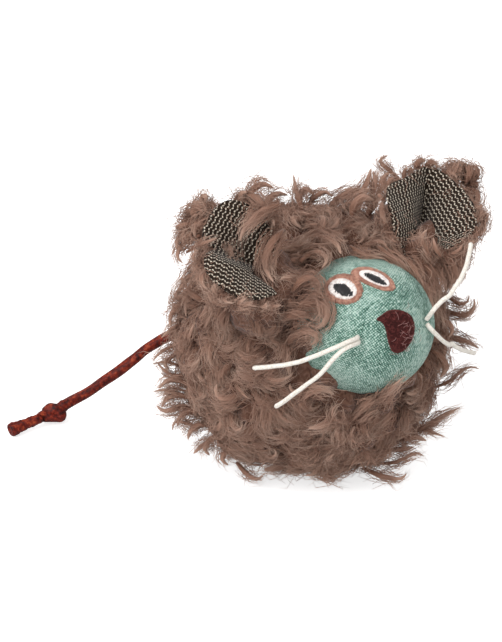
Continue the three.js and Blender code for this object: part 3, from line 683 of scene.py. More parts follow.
# A pad lying on the dome inside an outline: heights gives its profile from the middle to the edge
def domePad(name, axes, outline, rings, heights, base):
    count = len(outline)
    levels = [(share, heights(share)) for share in np.linspace(0, 1, rings + 1)[1:]] + [(0.97, base)]
    points = [onDome(axes, np.zeros(1), np.zeros(1), np.array([heights(0.0)]))]
    points += [onDome(axes, *(outline * share).T, np.full(count, height)) for share, height in levels]
    points.append(onDome(axes, np.zeros(1), np.zeros(1), np.array([base])))
    quads = 1 + ringQuads(rings + 1, count)[:, [0, 3, 2, 1]]
    j = np.arange(count)
    after = (j + 1) % count
    last = 1 + rings * count
    top = np.stack([np.zeros(count, int), 1 + j, 1 + after], -1)
    under = np.stack([np.full(count, last + count), last + after, last + j], -1)
    return meshFrom(name, np.concatenate(points), quads, np.concatenate([top, under]))


# Wool felt: matted fibres dyed wine red, with no gloss and a few pale fibres on top
felt = mottled(
    "wine_felt",
    {"Roughness": 0.95, "Specular IOR Level": 0.15, "Sheen Weight": 0.35, "Sheen Tint": colour("#b06a66")},
    {"Scale": 900, "Detail": 5, "Distortion": 1.5}, [(0.3, "#220b0b"), (0.5, "#371514"), (0.68, "#5a2c2a")],
    {"Strength": 0.8, "Distance": 0.25 * mm},
)
noseAxes = domeFrame(nose["across"], nose["over"])
noseLine = smoothRoute(np.array(noseOutlineShares) * [nose["wide"], nose["tall"]], 6, closed=True)
noseLine = noseLine * (1 + rng.normal(0, 0.006, len(noseLine)))[:, None]
nosePiece = domePad(
    "nose_felt_pad", noseAxes, noseLine, nose["rings"],
    lambda share: nose["thick"] * (1 - share**7) ** 0.5 + 0.1 * mm, 0.0,
)
dress(nosePiece, felt, "body", "felt", "nose_felt")


# Pale fibres caught on the felt, most of them over its lower right
def feltFibres(count):
    share = np.linspace(-1, 1, 7)
    middle = rng.normal((0.14, -0.12), (0.2, 0.22), (count, 2)) * [nose["wide"], nose["tall"]]
    ways = unit(rng.normal(0, 1, (count, 2)))
    bend = np.stack([-ways[:, 1], ways[:, 0]], -1) * rng.normal(0, nose["fibreBend"], (count, 1))
    half = rng.uniform(*nose["fibreHalf"], (count, 1))
    flat = middle[:, None] + (ways * half)[:, None] * share[None, :, None] + bend[:, None] * (share**2)[None, :, None]
    lift = nose["thick"] + (0.22 * mm - 0.25 * mm * share**2)[None] + np.zeros((count, 1))
    paths = onDome(noseAxes, flat[..., 0], flat[..., 1], lift)
    radii = nose["fibreRadius"] * np.array([0.5, 1, 1, 1, 1, 0.8, 0.2]) + np.zeros((count, 1))
    return tubes("nose_felt_fibres", paths, radii, 4, np.tile(noseAxes[0], (count, 1)))


# Pale wool: single fibres with a faint sheen
paleFibre = newMaterial(
    "pale_fibre",
    {"Roughness": 0.8, "Specular IOR Level": 0.2, "Sheen Weight": 0.2, "Base Color": colour("#9d6f6b")},
)
dress(feltFibres(nose["fibres"]), paleFibre, "body", "felt")
print("nose made")


# Eyes: satin stitches laid side by side, in a copper ring, a white field and a black pupil
eye = {
    "thread": 0.19 * mm, "lift": 0.45 * mm, "ringStitches": 104, "whiteStitches": 92, "pupilStitches": 30,
    "sunk": 0.12 * mm, "uneven": 0.04 * mm, "pupilSlant": 0.35 * mm, "pupilScatter": 0.2 * mm, "pupilLift": 0.22 * mm,
}

# Each oval has its half width, half height and offset from the ring's middle, in mm
eyePlaces = {
    "right": {
        "across": -14.35 * mm, "over": 20 * mm, "leanDeg": 12,
        "ring": (5.6, 7.9, 0, 0), "white": (3.65, 5.9, -0.15, -0.15), "pupil": (2.15, 4.1, -0.5, -1.1),
    },
    "left": {
        "across": -2.05 * mm, "over": 19.5 * mm, "leanDeg": 28,
        "ring": (4.1, 7.9, 0, 0), "white": (2.65, 5.45, 0, -0.4), "pupil": (1.5, 4, -0.6, -1.1),
    },
}


# Embroidery thread: twisted rayon with a silky gloss along it
def embroideryThread(name, dark, light, gloss):
    return mottled(
        name, {"Roughness": gloss, "Specular IOR Level": 0.45, "Sheen Weight": 0.1}, {"Scale": 1100, "Detail": 2},
        [(0.35, dark), (0.65, light)],
    )


threads = {
    "ring": ("copper_thread", embroideryThread("copper_thread", "#8c5b4a", "#bb8c78", 0.5)),
    "white": ("white_thread", embroideryThread("white_thread", "#d9cfca", "#f7f1ee", 0.5)),
    "pupil": ("black_thread", embroideryThread("black_thread", "#0c0b0c", "#262226", 0.4)),
}


def leaned(points, leanDeg):
    lean = math.radians(leanDeg)
    x, y = points[..., 0], points[..., 1]
    return np.stack([x * math.cos(lean) - y * math.sin(lean), x * math.sin(lean) + y * math.cos(lean)], -1)


# Points of an oval at some turns, scaled about its middle
def ovalPoint(oval, turns, scale=1.0):
    wide, tall, aside, above = oval
    return np.stack([np.cos(turns) * wide * scale + aside, np.sin(turns) * tall * scale + above], -1) * mm


# Stitches from one set of points on the dome to another, each arched over the cloth with its ends sunk in it
def stitches(name, axes, starts, ends, leanDeg, lift):
    share = np.linspace(0, 1, 7)
    flat = leaned(starts[:, None] * (1 - share[:, None]) + ends[:, None] * share[:, None], leanDeg)
    arch = lift * np.sin(np.pi * share) ** 0.45 - eye["sunk"]
    lifts = np.tile(arch, (len(starts), 1)) + rng.normal(0, eye["uneven"], (len(starts), 1))
    radii = np.tile(eye["thread"] * np.array([0.6, 0.95, 1, 1, 1, 0.9, 0.4]), (len(starts), 1))
    paths = onDome(axes, flat[..., 0], flat[..., 1], lifts)
    return tubes(name, paths, radii, 5, np.tile(axes[0], (len(starts), 1)))


# Stitches all round a band, from its outer oval to its inner one
def stitchBand(name, axes, spot, outer, inner, scale, count, spread):
    turns = np.linspace(0, 2 * np.pi, count, endpoint=False)
    starts = ovalPoint(spot[outer], turns + rng.normal(0, 0.012, count))
    ends = ovalPoint(spot[inner], turns + spread + rng.normal(0, 0.03, count), scale)
    starts = starts * (1 + rng.normal(0, 0.014, (count, 1)))
    return stitches(name, axes, starts, ends, spot["leanDeg"], eye["lift"])


def pupilStitches(axes, spot):
    wide, tall, aside, above = np.array(spot["pupil"]) * mm
    rows = np.linspace(-0.96, 0.96, eye["pupilStitches"])
    half = np.sqrt(1 - rows**2) * wide
    starts = np.stack([aside - half, rows * tall + above - eye["pupilSlant"]], -1)
    ends = np.stack([aside + half, rows * tall + above + eye["pupilSlant"]], -1)
    starts = starts + rng.normal(0, eye["pupilScatter"], starts.shape)
    ends = ends + rng.normal(0, eye["pupilScatter"], ends.shape)
    return stitches("pupil", axes, starts, ends, spot["leanDeg"], eye["lift"] + eye["pupilLift"])


# One layer of an eye: its stitches over the padding that fills them out
def eyeLayer(hand, layer, sewn, axes, spot, scale, height):
    outline = leaned(ovalPoint(spot[layer], np.linspace(0, 2 * np.pi, 48, endpoint=False), scale), spot["leanDeg"])
    pad = domePad(f"{layer}Pad", axes, outline, 5, lambda share: height * (1 - share**4) ** 0.5, -0.1 * mm)
    selectOnly(sewn, pad)
    bpy.ops.object.join()
    sewn.name = f"eye_{layer}_stitches_{hand}"
    slot, thread = threads[layer]
    dress(sewn, thread, "body", slot, f"eye_{layer}_{hand}")


for hand, spot in eyePlaces.items():
    axes = domeFrame(spot["across"], spot["over"])
    ring = stitchBand("ring", axes, spot, "ring", "white", 1, eye["ringStitches"], 0.05)
    eyeLayer(hand, "ring", ring, axes, spot, 0.96, 0.2 * mm)
    white = stitchBand("white", axes, spot, "white", "pupil", 0.9, eye["whiteStitches"], -0.04)
    eyeLayer(hand, "white", white, axes, spot, 0.95, 0.28 * mm)
    eyeLayer(hand, "pupil", pupilStitches(axes, spot), axes, spot, 0.88, 0.5 * mm)
print("eyes made")


# Ears: a sheet of tweed folded into two pages, backed with pile, in the part's own seam frames
ear = {
    "seam": (31.9 * mm, -18.3 * mm, 41.6 * mm), "seamDepth": 2.5 * mm, "along": (0.64, 0.515, 0.575),
    "facing": (-0.262, -0.555, 0.79), "cloth": 1 * mm, "columnSteps": 7, "rowSteps": 9,
    "rowPitch": 1.45, "dashPitch": 0.9, "rowShift": 0.32, "zigzagHalf": 1.05, "zigzagDepth": 0.6,
}
earPoses = {
    "left": {"side": 1, "rollDeg": 0, "swingDeg": 0, "rise": 0},
    "right": {"side": -1, "rollDeg": -12, "swingDeg": 4, "rise": 2.4 * mm},
}

# Points of each sheet in mm: x across, y from the seam to the tip, z out of the lining. Every row runs from the
# seam to the rim, and the rows go round the rim from one corner over the crease to the other
earSheets = {
    "right": [
        [(-5.4, -3.4, 4.2), (-6, -3.7, 4.8), (-6.6, -4, 5.3), (-7.2, -4.3, 5.8)],
        [(-5.1, -1.9, 4), (-7.7, -1.3, 5.1), (-10.2, -0.7, 5.8), (-12.3, -0.3, 6.2)],
        [(-4.7, -0.4, 3.7), (-8.8, 1.6, 5.2), (-12.3, 3.2, 5.9), (-15.3, 4.7, 5.7)],
        [(-4.1, 1, 3.1), (-8.9, 4.4, 4.9), (-12.8, 7.4, 5.5), (-15.9, 10, 4.9)],
        [(-3.5, 2.4, 2.5), (-8.2, 7.4, 4.4), (-11.7, 11.9, 4.8), (-14.3, 15.9, 3.6)],
        [(-3, 3.4, 1.8), (-6.9, 9.5, 4), (-9.4, 14.9, 4.2), (-10.6, 19.8, 2.3)],
        [(-2.1, 4, 1), (-4.6, 10.2, 3.2), (-5.8, 15.8, 3.4), (-5.6, 20.8, 1.6)],
        [(2.1, 2.5, -2.5), (2.5, 7, -3.3), (2, 11.9, -2.9), (-0.1, 17.5, 0)],
        [(3.9, 2.3, -2.6), (3.6, 8.6, -3.5), (1.8, 15.6, -1.9), (-0.1, 22.6, -0.4)],
        [(5.6, 2.8, -1.6), (6.3, 9.7, -1.5), (5.9, 17.2, 0.3), (6.1, 24.3, 1.3)],
        [(6.8, 2.9, -0.9), (9.4, 9.2, 0.3), (11.1, 15.9, 2.7), (13.6, 22.1, 3.8)],
        [(7.9, 2.6, 0.6), (10.6, 7, 2.2), (13.1, 11.6, 4.2), (16, 16, 5.5)],
        [(7.5, 1.3, 1.4), (9.9, 3.8, 2.9), (12.2, 6.4, 4.5), (14.6, 8.9, 6.1)],
        [(5.9, -0.4, 2), (7.3, 0.4, 3.1), (8.7, 1.3, 4.2), (10, 2.1, 5.2)],
    ],
    "left": [
        [(-1.9, -6.6, -1.1), (-2.1, -7.9, -0.2), (-2.2, -9.2, 0.7), (-2.3, -10.5, 1.6)],
        [(-2.3, -4.2, -0.6), (-3.2, -5.8, 1.3), (-4.2, -7.2, 2.7), (-5.1, -8.3, 3.8)],
        [(-2.6, -1.9, -0.2), (-4.5, -3.3, 3.1), (-6.5, -4.3, 5.5), (-8.4, -4.9, 6.9)],
        [(-2.4, 0.1, -0.5), (-5.6, -0.1, 4.1), (-8.8, 0.2, 7.3), (-12, 1.2, 9.1)],
        [(-2, 1.6, -0.9), (-6.1, 3.6, 3.1), (-10.2, 6.5, 5.4), (-14.3, 9.6, 7.2)],
        [(-1.4, -1.5, -4.5), (-4.4, 6.8, 0.9), (-7.2, 11.2, 2.5), (-10, 15.6, 4.1)],
        [(-0.9, -1.5, -8), (-2.7, 11.1, -4.4), (-4.3, 16.1, -1.5), (-6, 20.7, 2.3)],
        [(-0.4, -1.5, -10), (-1.5, 13.2, -7.3), (-2.6, 18.5, -3.8), (-3.7, 23.2, 1)],
        [(0.6, -1.5, -9.5), (0.2, 12.5, -5.7), (-0.2, 17.9, -2.4), (-0.7, 23.4, 1)],
        [(1.9, -1.5, -6.5), (2.7, 9.7, -1.5), (3.2, 15.7, -0.2), (3.8, 21.7, 1.2)],
        [(3.4, -0.5, -3.8), (5.5, 7.1, 1.2), (7.4, 12.6, 2), (9.3, 18.1, 2.7)],
        [(4.9, 0.9, -0.4), (7.9, 3.8, 3.5), (11, 8.1, 4.3), (14.1, 12.7, 4.6)],
        [(5.5, -1, 0.9), (9.1, 0.8, 4.2), (12.7, 3.7, 5.3), (16.4, 7, 5.4)],
        [(5.8, -2.5, 1.9), (8.8, -1.9, 4.2), (11.8, -0.8, 5.6), (14.9, 0.6, 6.1)],
        [(6.3, -3.9, 2.9), (7.9, -3.9, 3.8), (9.5, -3.9, 4.6), (11, -3.8, 5.5)],
        [(5.9, -4.9, 3.1), (6.3, -5.2, 3.5), (6.8, -5.5, 3.9), (7.3, -5.7, 4.3)],
    ],
}

# Pages of each sheet: where each ends round the rim, the two rim points its weave runs between, and how close
# its rows lie. The last of the left ear is the turned hem
earPages = {
    "right": [(6.5, 5, 1, 1), (13, 8, 10, 1)],
    "left": [(7.2, 4, 1, 1), (12.4, 9, 12, 1), (15, 15, 13, 0.55)],
}


# The turn and the place that take an ear's own points to the shared frame
def earPlace(hand):
    pose = earPoses[hand]
    along = unit(np.array(ear["along"]) * [pose["side"], 1, 1])
    facing = squareTo(np.array(ear["facing"]) * [pose["side"], 1, 1], along)
    across = np.cross(along, facing)
    seam = np.array(ear["seam"]) * [pose["side"], 1, 1] + [0, 0, pose["rise"]] + bodyCentre - along * ear["seamDepth"]
    basis = Matrix([(*row, 0) for row in np.stack([across, along, facing], 1)] + [(0, 0, 0, 1)])
    place = Matrix.Translation(seam) @ basis
    place = place @ Matrix.Rotation(math.radians(pose["swingDeg"]), 4, "Z")
    place = np.array(place @ Matrix.Rotation(math.radians(pose["rollDeg"]), 4, "Y"))
    return place[:3, :3].T, place[:3, 3]


# The sheet as a fine grid in the shared frame, with its normals out of the lining
def earSheet(hand):
    grid = np.array(earSheets[hand]) * mm
    wide = np.stack([smoothRoute(grid[:, r], ear["columnSteps"]) for r in range(grid.shape[1])], 1)
    local = np.stack([smoothRoute(row, ear["rowSteps"]) for row in wide])
    normals = unit(np.cross(np.gradient(local, axis=0), np.gradient(local, axis=1)))
    turned, place = earPlace(hand)
    return local @ turned + place, normals @ turned


earGrids = {hand: earSheet(hand) for hand in earPoses}

# Herringbone tweed: dark brown ground with short cream floats that step to and fro in rows. The map is in mm
tweed = newMaterial(
    "herringbone_tweed",
    {
        "Roughness": 0.9, "Specular IOR Level": 0.15, "Sheen Weight": 0.1,
        "Base Color": "tone.Result", "Normal": "relief",
    },
    [
        ("cloth", "UVMap", {"uv_map": "clothMap"}),
        ("parts", "SeparateXYZ", {"Vector": "cloth"}),
        ("rows", "Math", "DIVIDE", "parts.Y", ear["rowPitch"]),
        ("row", "Math", "FLOOR", "rows"),
        ("rowShare", "Math", "FRACT", "rows"),
        ("rowOff", "Math", "SUBTRACT", "rowShare", 0.5),
        ("inRow", "Math", "MULTIPLY", "rowOff", ear["rowPitch"]),
        ("rowShift", "Math", "MULTIPLY", "row", ear["rowShift"]),
        ("shifted", "Math", "ADD", "parts.X", "rowShift"),
        ("folded", "Math", "PINGPONG", "shifted", ear["zigzagHalf"]),
        ("foldOff", "Math", "SUBTRACT", "folded", ear["zigzagHalf"] / 2),
        ("zigzag", "Math", "MULTIPLY", "foldOff", ear["zigzagDepth"] / ear["zigzagHalf"]),
        ("rowGap", "Math", "SUBTRACT", "inRow", "zigzag"),
        ("offRow", "Math", "ABSOLUTE", "rowGap"),
        ("dashes", "Math", "DIVIDE", "parts.X", ear["dashPitch"]),
        ("dashShift", "Math", "MULTIPLY", "row", 0.5),
        ("steps", "Math", "ADD", "dashes", "dashShift"),
        ("stepShare", "Math", "FRACT", "steps"),
        ("inStep", "Math", "SUBTRACT", "stepShare", 0.5),
        ("stepOff", "Math", "ABSOLUTE", "inStep"),
        ("offStep", "Math", "MULTIPLY", "stepOff", ear["dashPitch"]),
        ("across", "MapRange", {"From Min": 0.27, "From Max": 0.12, "Value": "offRow"}),
        ("along", "MapRange", {"From Min": 0.38, "From Max": 0.22, "Value": "offStep"}),
        ("dash", "Math", "MULTIPLY", "across", "along"),
        ("worn", "TexNoise", {"Scale": 0.8, "Detail": 3, "Vector": "cloth"}),
        ("wornMore", "Math", "MULTIPLY", "worn", 1.9),
        ("wornShare", "Math", "ADD", "wornMore", -0.02),
        ("shown", "Math", "MULTIPLY", "dash", "wornShare"),
        ("ground", "TexNoise", {"Scale": 2.2, "Detail": 2, "Vector": "cloth"}),
        ("dark", "ValToRGB", {"stops": [(0.32, "#0e0805"), (0.55, "#231810"), (0.72, "#443324")], "Fac": "ground"}),
        ("tone", "Mix", {"data_type": "RGBA", "Factor": "shown", 6: "dark", 7: colour("#dccfbd")}),
        ("groundRise", "Math", "MULTIPLY", "ground", 0.5),
        ("height", "Math", "ADD", "dash", "groundRise"),
        ("relief", "Bump", {"Strength": 0.8, "Distance": 0.25 * mm, "Height": "height"}),
    ],
)


# Turns every face of a closed piece outward
def facedOutward(piece):
    form = bmesh.new()
    form.from_mesh(piece.data)
    bmesh.ops.recalc_face_normals(form, faces=form.faces)
    form.to_mesh(piece.data)
    form.free()
    return piece


def earLining(hand):
    top, normals = earGrids[hand]
    columns, rows = top.shape[:2]
    i, j = np.meshgrid(np.arange(columns), np.arange(rows), indexing="ij")
    rim = np.maximum(np.abs(i / (columns - 1) * 2 - 1) ** 24, np.abs(j / (rows - 1) * 2 - 1) ** 12)[..., None]
    upper = top - normals * rim * 0.35 * mm
    under = top - normals * (ear["cloth"] - rim * 0.25 * mm)
    points = np.concatenate([upper.reshape(-1, 3), under.reshape(-1, 3)])
    i, j = i[:-1, :-1].ravel(), j[:-1, :-1].ravel()
    front = np.stack([i * rows + j, (i + 1) * rows + j, (i + 1) * rows + j + 1, i * rows + j + 1], -1)
    base = columns * rows
    loop = np.concatenate([
        np.arange(rows - 1), rows - 1 + np.arange(columns - 1) * rows,
        (columns - 1) * rows + np.arange(rows - 1, 0, -1), np.arange(columns - 1, 0, -1) * rows,
    ])
    after = np.roll(loop, -1)
    quads = np.concatenate([front, base + front[:, ::-1], np.stack([loop, base + loop, base + after, after], -1)])

    # Each page's weave is laid out flat along its own way, in mm from well outside it
    faceMap = np.zeros((len(quads), 4, 2))
    at = quads % base
    middle = (at // rows).mean(1) / ear["columnSteps"]
    first = 0
    for last, start, stop, pitch in earPages[hand]:
        way = unit(top[stop * ear["columnSteps"], -1] - top[start * ear["columnSteps"], -1])
        inPage = slice(int(first * ear["columnSteps"]), int(last * ear["columnSteps"]) + 1)
        over = unit(np.cross(unit(normals[inPage, rows // 3 :].mean((0, 1))), way))
        flat = np.stack([top.reshape(-1, 3) @ way / mm, top.reshape(-1, 3) @ over / mm / pitch], -1) + 300
        page = (middle >= first) & (middle <= last)
        faceMap[page] = flat[at[page]]
        first = last
    piece = meshFrom(f"ear_tweed_{hand}", points, quads, np.zeros((0, 3), int), {"clothMap": faceMap.reshape(-1, 2)})
    dress(facedOutward(piece), tweed, f"ear_{hand}", "tweed", f"ear_lining_{hand}")


for hand in earPoses:
    earLining(hand)
print("ear linings made")


# Fur: the pile stands in the part's tufts. Each tuft is a few curled locks that lie much the same way, and each
# lock is a bundle of fine hairs round a soft core
fur = {
    "perTuft": 5.2, "spread": 0.6, "length": (12 * mm, 19 * mm), "radius": (1.7 * mm, 3.2 * mm), "stations": 17,
    "riseDeg": (20, 60), "turnDeg": (90, 280), "leanDeg": 28, "swirlDeg": 65, "reach": 2.2 * mm, "strayShare": 0.06,
    "strayReach": 4.5 * mm, "droop": 0.2, "waves": 1.3, "waveMm": 0.6, "seed": 5, "tries": 6,
    "floor": 0.35 * mm, "coverStations": 5, "tones": 32, "coreShare": 0.44, "section": (1.12, 0.85),
    "fullSize": 14 * mm * 2.6 * mm, "trianglesPerPiece": 185000,
}
hair = {
    "perLock": 59, "stations": 6, "radius": 0.088 * mm, "taper": (0.6, 1, 1, 0.9, 0.65, 0), "start": (0, 0.5),
    "stop": (0.6, 1.12), "least": 0.35, "twist": (1.2, 0.5), "spread": (0.5, 1.1), "lift": 0.7, "frizz": 1.1 * mm,
    "crimp": 0.1 * mm, "astrayShare": 0.18, "astrayMm": (0.4, 2.6), "astrayBend": 1.8,
}

# How far locks keep from what is round them, in shares of their radius and in metres, and what giving way costs
fit = {
    "inSurface": 0.45, "offBacking": 0.3, "offFace": 0.8, "face": 0.3 * mm, "floor": 0.8, "earFront": 0.4 * mm,
    "earBehind": 3.2 * mm, "beyond": 0.15, "faceCost": 2, "earCost": 1.5 * mm, "sheetRim": 1.2 * mm,
    "sheetReach": 4 * mm, "sheetHeight": 15 * mm,
}
earFur = {
    "locks": 90, "length": (7 * mm, 11 * mm), "radius": (1.5 * mm, 2.5 * mm), "turnDeg": (120, 280),
    "riseDeg": (15, 60), "rootDepth": 1.6 * mm, "room": {"left": 2.1 * mm, "right": 3 * mm},
}
earTuft = {
    "locks": 26, "length": (8 * mm, 12 * mm), "radius": (2 * mm, 3.1 * mm), "turnDeg": (160, 330),
    "place": (8.5, 23.9, -6.2), "half": (9, 7.5, 4.6), "room": 1.15,
}
